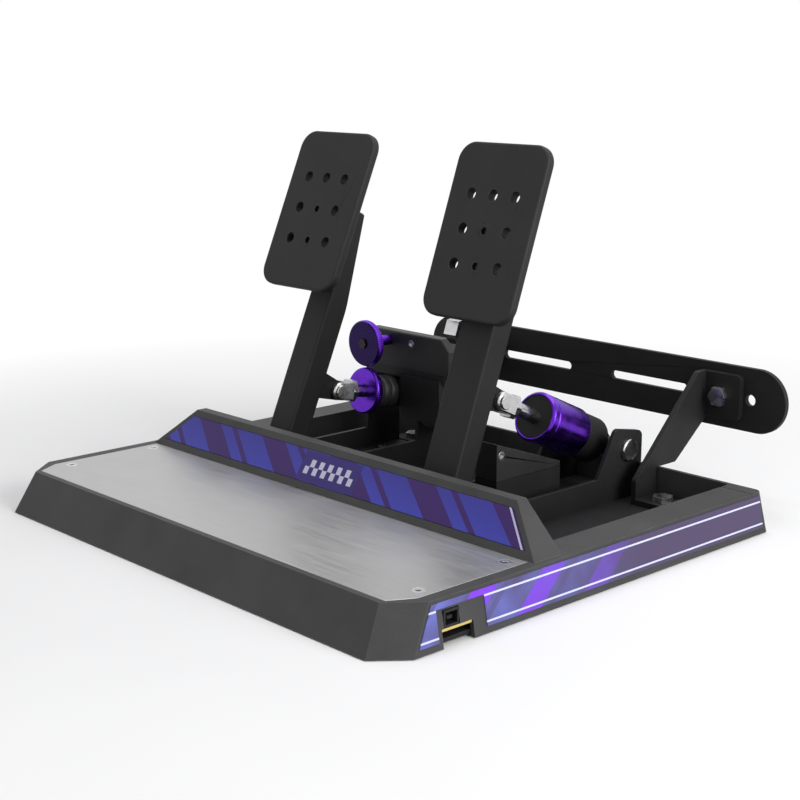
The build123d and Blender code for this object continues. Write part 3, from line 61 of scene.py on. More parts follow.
body_of = {name: body for body, names in frame["record"]["behaviour"]["bodies"].items() for name in names}
mm = 0.001
x_axis = (1, 0, 0)
y_axis = (0, 1, 0)
z_axis = (0, 0, 1)
toward_driver = (0, -1, 0)
strut_axis = joints["throttle_strut_slide"]["axis"]
dial_axis = joints["brake_gain_turn"]["axis"]

# Camera, at the photograph's place
camera_place = (0.7481, -0.70485, 0.3130)
camera_elevation = 12.807
camera_azimuth = 46.995
camera_lens = 68.93
camera_sensor = 36.0


def make_camera():
    """Camera at the photograph's place."""
    camera = bpy.data.objects.new("camera", bpy.data.cameras.new("camera"))
    camera.location = camera_place
    camera.rotation_euler = (math.radians(90 - camera_elevation), 0, math.radians(camera_azimuth))
    camera.data.lens = camera_lens
    camera.data.sensor_width = camera_sensor
    bpy.context.scene.collection.objects.link(camera)
    bpy.context.scene.camera = camera


# Detail of noises, and the values that most of a noise lies between
plain_detail = 2.0
some_detail = 3.0
much_detail = 4.0
most_detail = 5.0
noise_low = 0.35
noise_high = 0.65

# How far a rounded and a flat normal agree, on a paler edge (partly wear, partly painted highlight) and off it
edge_mask_match = (0.8, 0.98)
edge_mask_samples = 4


class Look:
    """One material, with short ways to add the nodes that give it detail."""

    def __init__(self, name, **shader):
        self.material = bpy.data.materials.new(name)
        self.material.use_nodes = True
        self.tree = self.material.node_tree
        self.shader = self.tree.nodes["Principled BSDF"]
        for socket, value in shader.items():
            self.shader.inputs[socket.replace("_", " ")].default_value = value
        self.place = self.tree.nodes.new("ShaderNodeTexCoord").outputs["Object"]

    def feed(self, socket, value):
        """Gives a socket a value, or links another socket to it."""
        if isinstance(value, bpy.types.NodeSocket):
            self.tree.links.new(value, socket)
        else:
            socket.default_value = value

    def add(self, kind, inputs, **settings):
        """A new node, with its settings and what goes into it."""
        made = self.tree.nodes.new(kind)
        for name, value in settings.items():
            setattr(made, name, value)
        for socket, value in inputs.items():
            self.feed(made.inputs[socket], value)
        return made

    def maths(self, operation, *values):
        """Result of a sum, product or other step on up to three numbers."""
        inputs = dict(enumerate(values))
        return self.add("ShaderNodeMath", inputs, operation=operation).outputs[0]

    def vectors(self, operation, first, second):
        """Node of a step on two vectors."""
        return self.add("ShaderNodeVectorMath", {0: first, 1: second}, operation=operation)

    def noise(self, size, detail=plain_detail, stretch=(1, 1, 1), warp=0.0):
        """Cloudy noise whose grains are about as large as size."""
        grid = tuple(1 / (size * share) for share in stretch)
        placed = self.vectors("MULTIPLY", self.place, grid).outputs[0]
        inputs = {"Vector": placed, "Scale": 1.0, "Detail": detail, "Distortion": warp}
        return self.add("ShaderNodeTexNoise", inputs).outputs["Fac"]

    def spread(self, value, low, high, start=noise_low, end=noise_high):
        """A value brought from start..end to low..high."""
        inputs = {"Value": value, "From Min": start, "From Max": end, "To Min": low, "To Max": high}
        return self.add("ShaderNodeMapRange", inputs).outputs[0]

    def blend(self, share, first, second):
        """Colour that goes from the first to the second."""
        inputs = {0: share, 6: first, 7: second}
        return self.add("ShaderNodeMix", inputs, data_type="RGBA").outputs[2]

    def inside(self, value, middle, half):
        """1 where a value lies within half of the middle, and 0 elsewhere."""
        return self.maths("COMPARE", value, middle, half)

    def along(self, direction):
        """Distance along a direction."""
        return self.vectors("DOT_PRODUCT", self.place, direction).outputs["Value"]

    def edge_wear_and_highlight(self, radius):
        """1 on sharp outer edges, fading to 0 within a radius."""
        round_normal = self.add("ShaderNodeBevel", {"Radius": radius}, samples=edge_mask_samples).outputs[0]
        flat_normal = self.add("ShaderNodeNewGeometry", {}).outputs["True Normal"]
        match = self.vectors("DOT_PRODUCT", round_normal, flat_normal).outputs["Value"]
        return self.spread(match, 1.0, 0.0, *edge_mask_match)

    def finish(self, colour, roughness, height=None, depth=0.0):
        """Links colour, roughness and relief to the shader and returns the material."""
        self.feed(self.shader.inputs["Base Color"], colour)
        self.feed(self.shader.inputs["Roughness"], roughness)
        if height is not None:
            inputs = {"Height": height, "Strength": 1.0, "Distance": depth}
            normal = self.add("ShaderNodeBump", inputs).outputs[0]
            self.feed(self.shader.inputs["Normal"], normal)
        return self.material


def grey(level, tint=1.0):
    """Grey of a linear level, a little blue where tint is above 1."""
    return (level, level, level * tint, 1)


# Powder coat: clouds, speckles, and paler edges that are partly rubbed wear and partly painted highlight
coat_tint = 1.04
cloud_size = 38 * mm
speckle_levels = (0.8, 1.15)
edge_patch_size = 9 * mm
edge_patch_levels = (0.25, 0.9)
coat_rough = (0.5, 0.68)


def coat(name, dark, light, grain, depth, specular, edge_level, edge_radius):
    """Textured powder coat: fine grain, faint clouds, and edges paled by wear and painted highlight."""
    look = Look(name, Specular_IOR_Level=specular)
    clouds = look.noise(cloud_size, much_detail)
    fine = look.noise(grain, some_detail)
    body = look.blend(look.spread(clouds, 0, 1), grey(dark), grey(light, coat_tint))
    speckle = look.spread(fine, *speckle_levels)
    body = look.add("ShaderNodeVectorMath", {0: body, 3: speckle}, operation="SCALE").outputs[0]
    patches = look.spread(look.noise(edge_patch_size, much_detail), *edge_patch_levels)
    # Edges paled in patches: partly wear, partly a painted highlight where edges catch the light.
    worn_and_lit_edges = look.maths("MULTIPLY", look.edge_wear_and_highlight(edge_radius), patches)
    colour = look.blend(worn_and_lit_edges, body, grey(edge_level))
    return look.finish(colour, look.spread(fine, *coat_rough), fine, depth)


# Brushed heel plate: fine hairs along its width, and broad smears
heel_level = 0.46
hair_size = 0.45 * mm
hair_stretch = (60, 1, 1)
hair_dark = 0.86
hair_rough = (0.33, 0.41)
hair_depth = 0.0015 * mm
smear_size = 60 * mm
smear_stretch = (1.6, 1, 1)
smear_warp = 0.6
smear_dark = 0.8
smear_share = 0.35
smear_rough = 0.07


def heel_look():
    """Bare steel brushed along one direction, with faint smears."""
    look = Look("heel_look", Metallic=1.0)
    hairs = look.noise(hair_size, much_detail, hair_stretch)
    smears = look.noise(smear_size, most_detail, smear_stretch, smear_warp)
    colour = look.blend(look.spread(hairs, 0, 1), grey(heel_level * hair_dark), grey(heel_level))
    colour = look.blend(look.spread(smears, 0, smear_share), colour, grey(heel_level * smear_dark))
    rough = look.maths("ADD", look.spread(hairs, *hair_rough), look.spread(smears, 0, smear_rough))
    return look.finish(colour, rough, hairs, hair_depth)


# Machined metal: fine rings and dull patches
ring_pitch = 0.25 * mm
ring_depth = 0.01 * mm
patch_size = 7 * mm
patch_dark = 0.8


def machined(name, colour, low_rough, high_rough, direction):
    """Turned or milled metal, with fine rings across a direction."""
    look = Look(name, Metallic=1.0)
    turns = look.maths("DIVIDE", look.along(direction), ring_pitch)
    inputs = {"W": turns, "Scale": 1.0, "Detail": plain_detail}
    rings = look.add("ShaderNodeTexNoise", inputs, noise_dimensions="1D").outputs["Fac"]
    patches = look.noise(patch_size, much_detail)
    dull = tuple(share * patch_dark for share in colour[:3]) + (1,)
    tone = look.blend(look.spread(patches, 0, 1), dull, colour)
    return look.finish(tone, look.spread(patches, low_rough, high_rough), rings, ring_depth)


# Moulded parts: broad flow marks, half as tall as wide
flow_size = 30 * mm
flow_stretch = (1, 1, 0.5)


def moulded(name, dark, light, grain, depth, specular, low_rough, high_rough):
    """Moulded plastic or rubber with a fine eroded grain."""
    look = Look(name, Specular_IOR_Level=specular)
    grains = look.noise(grain, some_detail)
    flow = look.noise(flow_size, some_detail, flow_stretch)
    colour = look.blend(look.spread(flow, 0, 1), grey(dark), grey(light))
    return look.finish(colour, look.spread(grains, low_rough, high_rough), grains, depth)


# Anodised metal, and the dial's face, darkened with painted shade
purple = (0.13, 0.028, 0.5, 1)
purple_dark = (0.1, 0.022, 0.4, 1)
dial_face_painted_shade = (0.024, 0.012, 0.075, 1)
dial_face_painted_shade_dark = (0.016, 0.008, 0.05, 1)
dial_face_depth = 0.4 * mm
arc_size = 0.3 * mm
arc_stretch = (12, 12, 1)
arc_rough = (0.26, 0.38)
arc_depth = 0.004 * mm


def dial_look():
    """Anodised dial: a purple rim, and a brushed face darkened with painted shade."""
    look = Look("dial_look", Metallic=1.0)
    low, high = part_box("gain_knob")
    arcs = look.noise(arc_size, some_detail, arc_stretch)
    share = look.spread(arcs, 0, 1)
    face = look.inside(look.along(y_axis), low.y, dial_face_depth)
    rim_tone = look.blend(share, purple_dark, purple)
    # The face takes darker copies of the purple: painted shade.
    tone = look.blend(face, rim_tone, look.blend(share, dial_face_painted_shade_dark, dial_face_painted_shade))
    return look.finish(tone, look.spread(arcs, *arc_rough), arcs, arc_depth)


# Both prints: a satin film with a fine grain
print_shader = {"Specular_IOR_Level": 0.2, "Coat_Weight": 0.08, "Coat_Roughness": 0.3}
print_grain = 0.35 * mm
print_rough = (0.34, 0.46)
print_depth = 0.008 * mm


def finish_print(look, tone):
    """Satin grain over a print's colours."""
    grain = look.noise(print_grain)
    return look.finish(tone, look.spread(grain, *print_rough), grain, print_depth)


# Print on the toe fascia: slanted bars in two widths and a small checked strip in the middle, with a
# painted highlight: a pale line along its right end
print_blue = (0.062, 0.068, 0.46, 1)
print_deep = (0.038, 0.024, 0.17, 1)
print_purple = (0.045, 0.015, 0.13, 1)
pale_print_and_highlight = (0.62, 0.62, 0.78, 1)
print_fade = 0.5
print_wear_size = 25 * mm
print_wear = 0.12
highlight_lean = 1.12
highlight_line = (1.6 * mm, 0.9 * mm)
bar_period = 74 * mm
bar_slant = 1.5
wide_bar = (22 * mm, 13 * mm)
thin_bar = (51 * mm, 3 * mm)
check_size = 4.4 * mm
check_columns = 11
check_rows = 2
even_reach = 0.5


def fascia_print():
    """Satin print of slanted bars and a checked strip, with a painted highlight line at its right end."""
    look = Look("fascia_print_look", **print_shader)
    low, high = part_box("fascia_panel")
    across = look.along(x_axis)
    height = look.along(z_axis)
    up = look.maths("SUBTRACT", height, (low.z + high.z) / 2)
    slanted = look.maths("ADD", across, look.maths("MULTIPLY", up, bar_slant))
    step = look.maths("FLOORED_MODULO", slanted, bar_period)
    bars = look.maths("MAXIMUM", look.inside(step, *wide_bar), look.inside(step, *thin_bar))
    fade = look.spread(height, 0.0, print_fade, low.z, high.z)
    tone = look.blend(bars, look.blend(fade, print_blue, print_deep), print_purple)
    half_width = check_size * check_columns / 2
    half_height = check_size * check_rows / 2
    field_across = look.inside(across, 0, half_width + check_size)
    field_up = look.inside(up, 0, half_height + check_size)
    tone = look.blend(look.maths("MULTIPLY", field_across, field_up), tone, print_deep)
    places = []
    for distance, half in ((across, half_width), (up, half_height)):
        shifted = look.maths("ADD", distance, half)
        places.append(look.maths("FLOOR", look.maths("DIVIDE", shifted, check_size)))
    odd = look.maths("FLOORED_MODULO", look.maths("ADD", *places), 2.0)
    strip = look.maths("MULTIPLY", look.inside(across, 0, half_width), look.inside(up, 0, half_height))
    tone = look.blend(look.maths("MULTIPLY", strip, look.inside(odd, 0, even_reach)), tone, pale_print_and_highlight)
    # Painted highlight: a pale leaning line along the right end, where the folded edge catches the light.
    rise = look.maths("SUBTRACT", height, low.z)
    leaning = look.maths("ADD", across, look.maths("MULTIPLY", rise, highlight_lean))
    highlight_place = look.maths("SUBTRACT", high.x, leaning)
    tone = look.blend(look.inside(highlight_place, *highlight_line), tone, pale_print_and_highlight)
    wear = look.noise(print_wear_size, most_detail)
    return finish_print(look, look.blend(look.spread(wear, 0, print_wear), tone, print_deep))


# Print on the side bands: a dusky ground, blue and violet panes that fade to the rear, and pale
# pinstripes. A pane's middle and half width are shares of the panes' period.
band_ground = (0.066, 0.048, 0.105, 1)
band_blue = (0.13, 0.15, 0.5, 1)
band_violet = (0.2, 0.035, 0.72, 1)
band_pale = (0.56, 0.58, 0.78, 1)
band_fade = 0.62
band_cloud_size = 30 * mm
band_cloud_levels = (0.2, 1.0)
pane_period = 58 * mm
pane_slant = -1.2
pane_shares = (0.3, 0.18)
pane_strength = 1.2
slit_shares = (0.62, 0.05)
slit_strength = 0.6
pinstripe_heights = (7.2 * mm, 21.6 * mm)
pinstripe_half = 0.55 * mm


def band_print():
    """Satin print of fading panes and two pinstripes."""
    look = Look("band_print_look", **print_shader)
    low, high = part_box("side_bands")
    depth = look.along(y_axis)
    height = look.along(z_axis)
    slanted = look.maths("ADD", depth, look.maths("MULTIPLY", height, pane_slant))
    step = look.maths("FLOORED_MODULO", slanted, pane_period)
    front = look.spread(depth, 1.0, 0.0, low.y, low.y + band_fade * (high.y - low.y))
    clouds = look.spread(look.noise(band_cloud_size), *band_cloud_levels)
    tone = look.blend(look.maths("MULTIPLY", front, clouds), band_ground, band_blue)
    for shares, strength, colour in (
        (pane_shares, pane_strength, band_violet),
        (slit_shares, slit_strength, band_ground),
    ):
        pane = look.inside(step, *(pane_period * share for share in shares))
        tone = look.blend(look.maths("MULTIPLY", pane, look.maths("MULTIPLY", front, strength)), tone, colour)
    for line in pinstripe_heights:
        tone = look.blend(look.inside(height, line, pinstripe_half), tone, band_pale)
    return finish_print(look, tone)


# Circuit board
board_green = (0.012, 0.07, 0.03, 1)
board_track = (0.03, 0.16, 0.06, 1)
board_gilt = (0.55, 0.42, 0.13, 1)
board_specular = 0.5
track_density = 260.0
track_reach = 0.22
gilt_width = 6.0 * mm
gilt_edge = 5.5 * mm
mask_size = 3 * mm
mask_rough = (0.3, 0.45)
track_depth = 0.02 * mm


def circuit_board():
    """Green solder mask with copper tracks under it, and a gilt edge strip."""
    look = Look("board_look", Specular_IOR_Level=board_specular)
    low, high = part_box("interface_board")
    inputs = {"Vector": look.place, "Scale": track_density}
    tracks = look.add("ShaderNodeTexVoronoi", inputs, distance="MANHATTAN").outputs["Distance"]
    tone = look.blend(look.spread(tracks, 1.0, 0.0, 0.0, track_reach), board_green, board_track)
    edge = look.spread(look.along(x_axis), 0.0, 1.0, high.x - gilt_width, high.x - gilt_edge)
    tone = look.blend(edge, tone, board_gilt)
    return look.finish(tone, look.spread(look.noise(mask_size), *mask_rough), tracks, track_depth)


# Powder coats by slot: dark and light level, grain, relief, specular level, and the level and reach
# of the paler edges, partly wear and partly painted highlight
coats = {
    "shell_coat": ("shell_look", 0.028, 0.04, 0.55 * mm, 0.09 * mm, 0.35, 0.12, 0.7 * mm),
    "sheet_coat": ("sheet_look", 0.008, 0.012, 0.4 * mm, 0.05 * mm, 0.22, 0.07, 0.5 * mm),
    "dark_alloy": ("dark_alloy_look", 0.006, 0.009, 0.3 * mm, 0.02 * mm, 0.25, 0.11, 0.5 * mm),
    "plate_alloy": ("plate_look", 0.01, 0.014, 0.35 * mm, 0.03 * mm, 0.28, 0.14, 0.6 * mm),
}

# Moulded parts by slot: dark and light level, grain, relief, specular level, lowest and highest
# roughness
mouldings = {
    "foot_rubber": ("rubber_look", 0.012, 0.018, 0.5 * mm, 0.04 * mm, 0.3, 0.7, 0.85),
    "spacer_nylon": ("nylon_look", 0.014, 0.02, 0.4 * mm, 0.02 * mm, 0.3, 0.42, 0.6),
    "soft_rings": ("soft_ring_look", 0.012, 0.02, 0.3 * mm, 0.02 * mm, 0.4, 0.45, 0.6),
    "case_plastic": ("case_look", 0.008, 0.012, 0.4 * mm, 0.03 * mm, 0.25, 0.42, 0.6),
    "cover_plastic": ("cover_look", 0.014, 0.02, 0.5 * mm, 0.05 * mm, 0.28, 0.42, 0.6),
}

# Machined metals by slot: colour, lowest and highest roughness, and the direction their rings cross
metals = {
    "black_screws": ("black_screw_look", grey(0.035), 0.32, 0.45, z_axis),
    "bright_fasteners": ("zinc_look", grey(0.62, 1.03), 0.22, 0.36, strut_axis),
    "pin_steel": ("pin_look", grey(0.58), 0.16, 0.28, x_axis),
    "clevis_alloy": ("clevis_look", grey(0.66), 0.24, 0.36, strut_axis),
    "purple_alloy": ("purple_look", purple, 0.2, 0.3, strut_axis),
    "bush_bronze": ("bronze_look", (0.42, 0.26, 0.11, 1), 0.35, 0.5, x_axis),
    "spring_steel": ("spring_look", grey(0.42), 0.25, 0.35, strut_axis),
    "magnet_nickel": ("nickel_look", grey(0.55), 0.15, 0.25, dial_axis),
}


def make_looks():
    """A material for each slot of the record."""
    looks = {slot: coat(*row) for slot, row in coats.items()}
    looks |= {slot: moulded(*row) for slot, row in mouldings.items()}
    looks |= {slot: machined(*row) for slot, row in metals.items()}
    looks["heel_steel"] = heel_look()
    looks["fascia_print"] = fascia_print()
    looks["band_print"] = band_print()
    looks["circuit_board"] = circuit_board()
    return looks


# Stage: a pale floor, a white background and three soft lamps. A lamp has a name, a place, a size
# and a power.
sky_level = 0.3
floor_size = 12.0
floor_colour = (0.9, 0.9, 0.91, 1)
floor_shade = (0.88, 0.88, 0.89, 1)
floor_cloud_size = 0.2
floor_specular = 0.1
floor_rough = 0.8
floor_fade = (0.3, 0.7)
lamps = (
    ("key", (1.6, 0.1, 0.7), 1.0, 26.0),
    ("fill", (0.0, -1.6, 0.7), 1.0, 2.4),
    ("top", (-0.1, 0.4, 1.6), 1.2, 13.0),
)
lamp_target = Vector((0, 0, 0.08))


def mix_shaders(tree, share, first, second):
    """Shader that goes from the first to the second."""
    mix = tree.nodes.new("ShaderNodeMixShader")
    for socket, output in enumerate((share, first, second)):
        tree.links.new(output, mix.inputs[socket])
    return mix.outputs[0]


def only_seen(tree, seen, unseen):
    """One shader for what the eye, a gloss or clear glass meets, and another for all other light."""
    path = tree.nodes.new("ShaderNodeLightPath")
    share = path.outputs["Is Camera Ray"]
    for name in ("Is Glossy Ray", "Is Transmission Ray"):
        either = tree.nodes.new("ShaderNodeMath")
        either.operation = "MAXIMUM"
        tree.links.new(share, either.inputs[0])
        tree.links.new(path.outputs[name], either.inputs[1])
        share = either.outputs[0]
    return mix_shaders(tree, share, unseen, seen)


def make_world():
    """White where it is seen, and a plain soft level where it lights the object."""
    world = bpy.data.worlds.new("studio")
    bpy.context.scene.world = world
    world.use_nodes = True
    tree = world.node_tree
    shaders = []
    for strength in (1.0, sky_level):
        shader = tree.nodes.new("ShaderNodeBackground")
        shader.inputs["Color"].default_value = (1, 1, 1, 1)
        shader.inputs["Strength"].default_value = strength
        shaders.append(shader.outputs[0])
    output = tree.nodes["World Output"].inputs["Surface"]
    tree.links.new(only_seen(tree, *shaders), output)


def make_floor():
    """Pale floor that keeps the object's shadow near it and is white further out."""
    mesh = bpy.data.meshes.new("floor")
    half = floor_size / 2
    corners = [(-half, -half, 0), (half, -half, 0), (half, half, 0), (-half, half, 0)]
    mesh.from_pydata(corners, [], [(0, 1, 2, 3)])
    floor = bpy.data.objects.new("floor", mesh)
    bpy.context.scene.collection.objects.link(floor)
    look = Look("floor_look", Specular_IOR_Level=floor_specular)
    clouds = look.spread(look.noise(floor_cloud_size), 0, 1)
    look.finish(look.blend(clouds, floor_colour, floor_shade), floor_rough)
    tree = look.tree
    white = tree.nodes.new("ShaderNodeEmission")
    distance = look.add("ShaderNodeVectorMath", {0: look.place}, operation="LENGTH").outputs["Value"]
    far = look.spread(distance, 0.0, 1.0, *floor_fade)
    paint = look.shader.outputs[0]
    faded = mix_shaders(tree, far, paint, white.outputs[0])
    output = tree.nodes["Material Output"].inputs["Surface"]
    tree.links.new(only_seen(tree, faded, paint), output)
    mesh.materials.append(look.material)


def make_lamps():
    """Soft square lamps that point at the object."""
    for name, place, size, power in lamps:
        lamp = bpy.data.objects.new(name, bpy.data.lights.new(name, "AREA"))
        lamp.data.size = size
        lamp.data.energy = power
        lamp.location = place
        lamp.rotation_euler = (lamp_target - Vector(place)).to_track_quat("-Z", "Y").to_euler()
        bpy.context.scene.collection.objects.link(lamp)


# Rounded edges on the frame's own nodes
node_bevels = {
    "base_shell": 1.0 * mm,
    "toe_fascia": 0.4 * mm,
    "heel_plate": 0.15 * mm,
    "fascia_panel": 0.08 * mm,
    "side_bands": 0.08 * mm,
    "throttle_sensor_cover": 1.0 * mm,
    "throttle_sensor_case": 0.6 * mm,
    "brake_housing": 0.6 * mm,
    "throttle_plate": 0.3 * mm,
    "brake_plate": 0.3 * mm,
}
usual_bevel = 0.35 * mm
bevel_angle = math.radians(32)
bevel_steps = 2
weld_reach = 0.002 * mm


def round_edges(name, width):
    """Small rounds on a node's sharp edges, so that they catch the light."""
    node = nodes[name]
    weld = node.modifiers.new("weld", "WELD")
    weld.merge_threshold = weld_reach
    bevel = node.modifiers.new("rounds", "BEVEL")
    bevel.width = width
    bevel.segments = bevel_steps
    bevel.limit_method = "ANGLE"
    bevel.angle_limit = bevel_angle
    bevel.use_clamp_overlap = True
    even = node.modifiers.new("even", "WEIGHTED_NORMAL")
    even.keep_sharp = False


# Turned and wound pieces that stand for plain CAD solids
sharp_angle = math.radians(35)
same_point = 0.001 * mm
same_depth = 0.05 * mm
facing_digits = 2
screw_steps = 48
screw_lip = 0.2 * mm
socket_share = 0.5
socket_depth_share = 0.45
socket_lead = 1.14
knurl_teeth = 72
knurl_steps_per_tooth = 4
knurl_depth = 0.02
knurl_inset = 0.5 * mm
knurl_rise = 0.3 * mm
rim_edge = 1.0 * mm
dial_thickness = 6.0 * mm
wire_sides = 12
wire_steps_per_turn = 32
spring_turns = 4.4
spring_flat = 0.4
ring_steps = 96
ring_crown = 0.5 * mm
ring_crown_steps = 3
bolt_dome = 2.6 * mm
bolt_crown_shares = ((1, 1), (1, 0.7), (0.93, 0.34), (0.8, 0.1), (0.66, 0))
countersunk_nodes = (
    "pan_screws",
    "deck_screws",
    "throttle_plate_screws",
    "brake_plate_screws",
    "housing_screws",
)


def plain(angle):
    """A round ring keeps its radius."""
    return 1.0


def six_sided(angle):
    """Share of the corner radius at an angle round a hexagon."""
    return math.cos(math.pi / 6) / math.cos(angle % (math.pi / 3) - math.pi / 6)


def knurled(angle):
    """Share of the outer radius at an angle round a knurled rim."""
    return 1 - knurl_depth * (1 + math.cos(knurl_teeth * angle)) / 2


def wall_between(rows, steps, closed):
    """Faces between rings of points, from each ring to the next, with caps where it is open."""
    faces = []
    for row in range(rows if closed else rows - 1):
        low = row * steps
        high = (row + 1) % rows * steps
        for step in range(steps):
            after = (step + 1) % steps
            faces.append((low + step, low + after, high + after, high + step))
    if not closed:
        faces.append(tuple(reversed(range(steps))))
        faces.append(tuple(range((rows - 1) * steps, rows * steps)))
    return faces


def turned(rings, place, facing, steps, closed=False):
    """Points and faces of rings about an axis. Each ring is a radius, a height and a shape."""
    turn = facing.to_track_quat("Z", "Y")
    points = []
    for radius, height, shape in rings:
        for step in range(steps):
            angle = 2 * math.pi * step / steps
            reach = radius * shape(angle)
            points.append(place + turn @ Vector((reach * math.cos(angle), reach * math.sin(angle), height)))
    return points, wall_between(len(rings), steps, closed)


def coil(middle, axis, half_length, radius, wire, turns):
    """Points and faces of a round wire wound about an axis, with a flat start and end."""
    turn = axis.to_track_quat("Z", "Y")
    count = round(turns * wire_steps_per_turn)
    points = []
    for step in range(count + 1):
        angle = 2 * math.pi * step / wire_steps_per_turn
        share = (step / wire_steps_per_turn - spring_flat) / (turns - 2 * spring_flat)
        height = (half_length - wire) * (2 * min(1, max(0, share)) - 1)
        outward = Vector((math.cos(angle), math.sin(angle), 0))
        for side in range(wire_sides):
            lean = 2 * math.pi * side / wire_sides
            rise = Vector((0, 0, height - wire * math.sin(lean)))
            points.append(middle + turn @ (outward * (radius + wire * math.cos(lean)) + rise))
    return points, wall_between(count + 1, wire_sides, False)


def add_piece(name, shapes, node):
    """One object of several shapes, which rides with a node and has its finish."""
    points = []
    faces = []
    for shape_points, shape_faces in shapes:
        start = len(points)
        points += shape_points
        faces += [tuple(start + index for index in face) for face in shape_faces]
    mesh = bpy.data.meshes.new(name)
    mesh.from_pydata(points, [], faces)
    mesh.shade_smooth()
    mesh.set_sharp_from_angle(angle=sharp_angle)
    mesh.materials.append(nodes[node].data.materials[0])
    piece = bpy.data.objects.new(name, mesh)
    bpy.context.scene.collection.objects.link(piece)
    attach(piece, body_of[node])
    return piece


def solids_of(name):
    """The separate solids of a node, each as its corners and its faces' middles, normals and areas."""
    made = bmesh.new()
    made.from_mesh(nodes[name].data)
    bmesh.ops.remove_doubles(made, verts=made.verts, dist=same_point)
    left = set(made.verts)
    solids = []
    for start in made.verts:
        if start not in left:
            continue
        left.discard(start)
        corners = [start]
        for corner in corners:
            for edge in corner.link_edges:
                other = edge.other_vert(corner)
                if other in left:
                    left.discard(other)
                    corners.append(other)
        inside = set(corners)
        faces = [face for face in made.faces if face.verts[0] in inside]
        facts = [(face.calc_center_median(), face.normal.copy(), face.calc_area()) for face in faces]
        solids.append(([corner.co.copy() for corner in corners], facts))
    made.free()
    return solids


def head_of(facts):
    """Middle and facing of the largest flat of a solid."""
    flats = {}
    for middle, normal, area in facts:
        facing = tuple(round(part, facing_digits) for part in normal)
        flats.setdefault(facing, []).append((middle, normal, area))
    widest = max(flats.values(), key=lambda flat: sum(area for _, _, area in flat))
    total = sum(area for _, _, area in widest)
    middle = sum((spot * area for spot, _, area in widest), Vector()) / total
    facing = sum((normal * area for _, normal, area in widest), Vector()).normalized()
    return middle, facing


def radii_of(corners, place, facing):
    """Distance of the far end below a screw's head, and the radii of its head and of that end."""
    depths = [(place - corner).dot(facing) for corner in corners]
    far = max(depths)
    out = [(corner - place + facing * depth).length for corner, depth in zip(corners, depths)]
    end = max(reach for reach, depth in zip(out, depths) if depth > far - same_depth)
    return far, max(out), end


def socket_rings(radius):
    """Hexagon socket whose corners lie at a radius, sunk into a head at height 0."""
    depth = 2 * radius * socket_depth_share
    return [
        (radius * socket_lead, 0, six_sided),
        (radius, -radius * (socket_lead - 1), six_sided),
        (radius, -depth, six_sided),
    ]


def make_countersunk(node):
    """Countersunk socket screws for a node's plain ones."""
    shapes = []
    for corners, facts in solids_of(node):
        place, facing = head_of(facts)
        length, head, shank = radii_of(corners, place, facing)
        cone = head - shank
        rings = [
            (shank - screw_lip, -length, plain),
            (shank, -length + screw_lip, plain),
            (shank, -cone, plain),
            (head, -screw_lip, plain),
            (head - screw_lip, 0, plain),
        ]
        shapes.append(turned(rings + socket_rings(head * socket_share), place, facing, screw_steps))
    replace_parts(add_piece(node + "_socketed", shapes, node), node)


def make_domed(node, dome, crown_shares):
    """Domed socket screws that stand up from a flat."""
    shapes = []
    up = Vector(z_axis)
    for corners, _ in solids_of(node):
        low = min(corner.z for corner in corners)
        high = max(corner.z for corner in corners)
        middle_x = sum(corner.x for corner in corners) / len(corners)
        middle_y = sum(corner.y for corner in corners) / len(corners)
        place = Vector((middle_x, middle_y, high))
        _, head, shank = radii_of(corners, place, up)
        rings = [
            (shank - screw_lip, low - high, plain),
            (shank, low - high + screw_lip, plain),
            (shank, -dome, plain),
        ]
        rings += [(head * across, -dome * down, plain) for across, down in crown_shares]
        shapes.append(turned(rings + socket_rings(head * socket_share), place, up, screw_steps))
    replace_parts(add_piece(node + "_socketed", shapes, node), node)


def measure(name, axis):
    """Middle of a round node, its half length along its axis, and its outer and inner radius."""
    low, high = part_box(name)
    middle = (low + high) / 2
    offsets = [vertex.co - middle for vertex in nodes[name].data.vertices]
    along = [offset.dot(axis) for offset in offsets]
    out = [(offset - axis * distance).length for offset, distance in zip(offsets, along)]
    return middle, max(along), max(out), min(out)


def make_spring():
    """Coil spring for the plain tube inside the throttle's sleeve."""
    slide = joints["throttle_strut_slide"]
    axis = Vector(slide["axis"])
    middle, half_length, outer, inner = measure("throttle_spring", axis)
    wire = (outer - inner) / 2
    winding = coil(middle, axis, half_length, outer - wire, wire, spring_turns)
    spring = add_piece("throttle_coil", [winding], "throttle_spring")
    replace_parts(spring, "throttle_spring")
    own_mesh(spring)


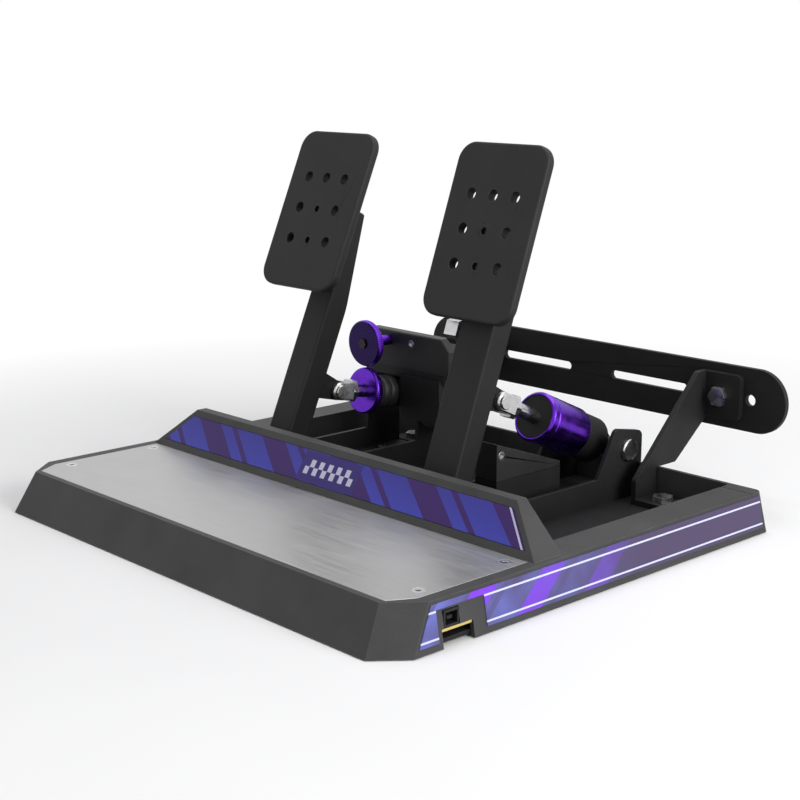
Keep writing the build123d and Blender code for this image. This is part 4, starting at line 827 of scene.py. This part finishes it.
def make_soft_rings():
    """Crowned rings for the brake's plain ones."""
    slide = joints["brake_strut_slide"]
    axis = Vector(slide["axis"])
    middle, half_length, outer, inner = measure("brake_elastomers", axis)
    shapes = []
    for corners, _ in solids_of("brake_elastomers"):
        along = [(corner - middle).dot(axis) for corner in corners]
        half = (max(along) - min(along)) / 2
        place = middle + axis * (max(along) + min(along)) / 2
        profile = [(inner, -half), (outer - 2 * ring_crown, -half)]
        for step in range(-ring_crown_steps, ring_crown_steps + 1):
            lean = step / ring_crown_steps
            profile.append((outer - ring_crown * lean * lean, lean * (half - ring_crown)))
        profile += [(outer - 2 * ring_crown, half), (inner, half)]
        rings = [(radius, height, plain) for radius, height in profile]
        shapes.append(turned(rings, place, axis, ring_steps, closed=True))
    soft = add_piece("brake_soft_rings", shapes, "brake_elastomers")
    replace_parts(soft, "brake_elastomers")
    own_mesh(soft)


def make_knurl(node, middle, facing, radius, half):
    """Knurled band round the rim of a disc."""
    steps = knurl_teeth * knurl_steps_per_tooth
    peak = radius + knurl_rise
    rings = [
        (radius - knurl_inset, -half, plain),
        (radius, -half, plain),
        (peak, -half + knurl_rise, knurled),
        (peak, half - knurl_rise, knurled),
        (radius, half, plain),
        (radius - knurl_inset, half, plain),
    ]
    add_piece(node + "_knurl", [turned(rings, middle, facing, steps, closed=True)], node)


def make_knurls():
    """Knurls on the brake's preload disc and on the gain dial."""
    axis = Vector(joints["brake_preload_turn"]["axis"])
    middle, half_length, outer, _ = measure("brake_preload_collar", axis)
    make_knurl("brake_preload_collar", middle, axis, outer, half_length - rim_edge)
    low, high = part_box("gain_knob")
    face = Vector(((low.x + high.x) / 2, low.y + dial_thickness / 2, (low.z + high.z) / 2))
    radius = (high.x - low.x) / 2
    make_knurl("gain_knob", face, Vector(toward_driver), radius, dial_thickness / 2 - rim_edge)


make_camera()
make_world()
make_floor()
make_lamps()
looks = make_looks()
for name, node in nodes.items():
    node.data.materials.clear()
    node.data.materials.append(looks[node_slots[name]])
    round_edges(name, node_bevels.get(name, usual_bevel))
nodes["gain_knob"].data.materials[0] = dial_look()
for node in countersunk_nodes:
    make_countersunk(node)
make_domed("module_bolts", bolt_dome, bolt_crown_shares)
make_spring()
make_soft_rings()
make_knurls()

bpy.context.scene.view_settings.view_transform = "Standard"
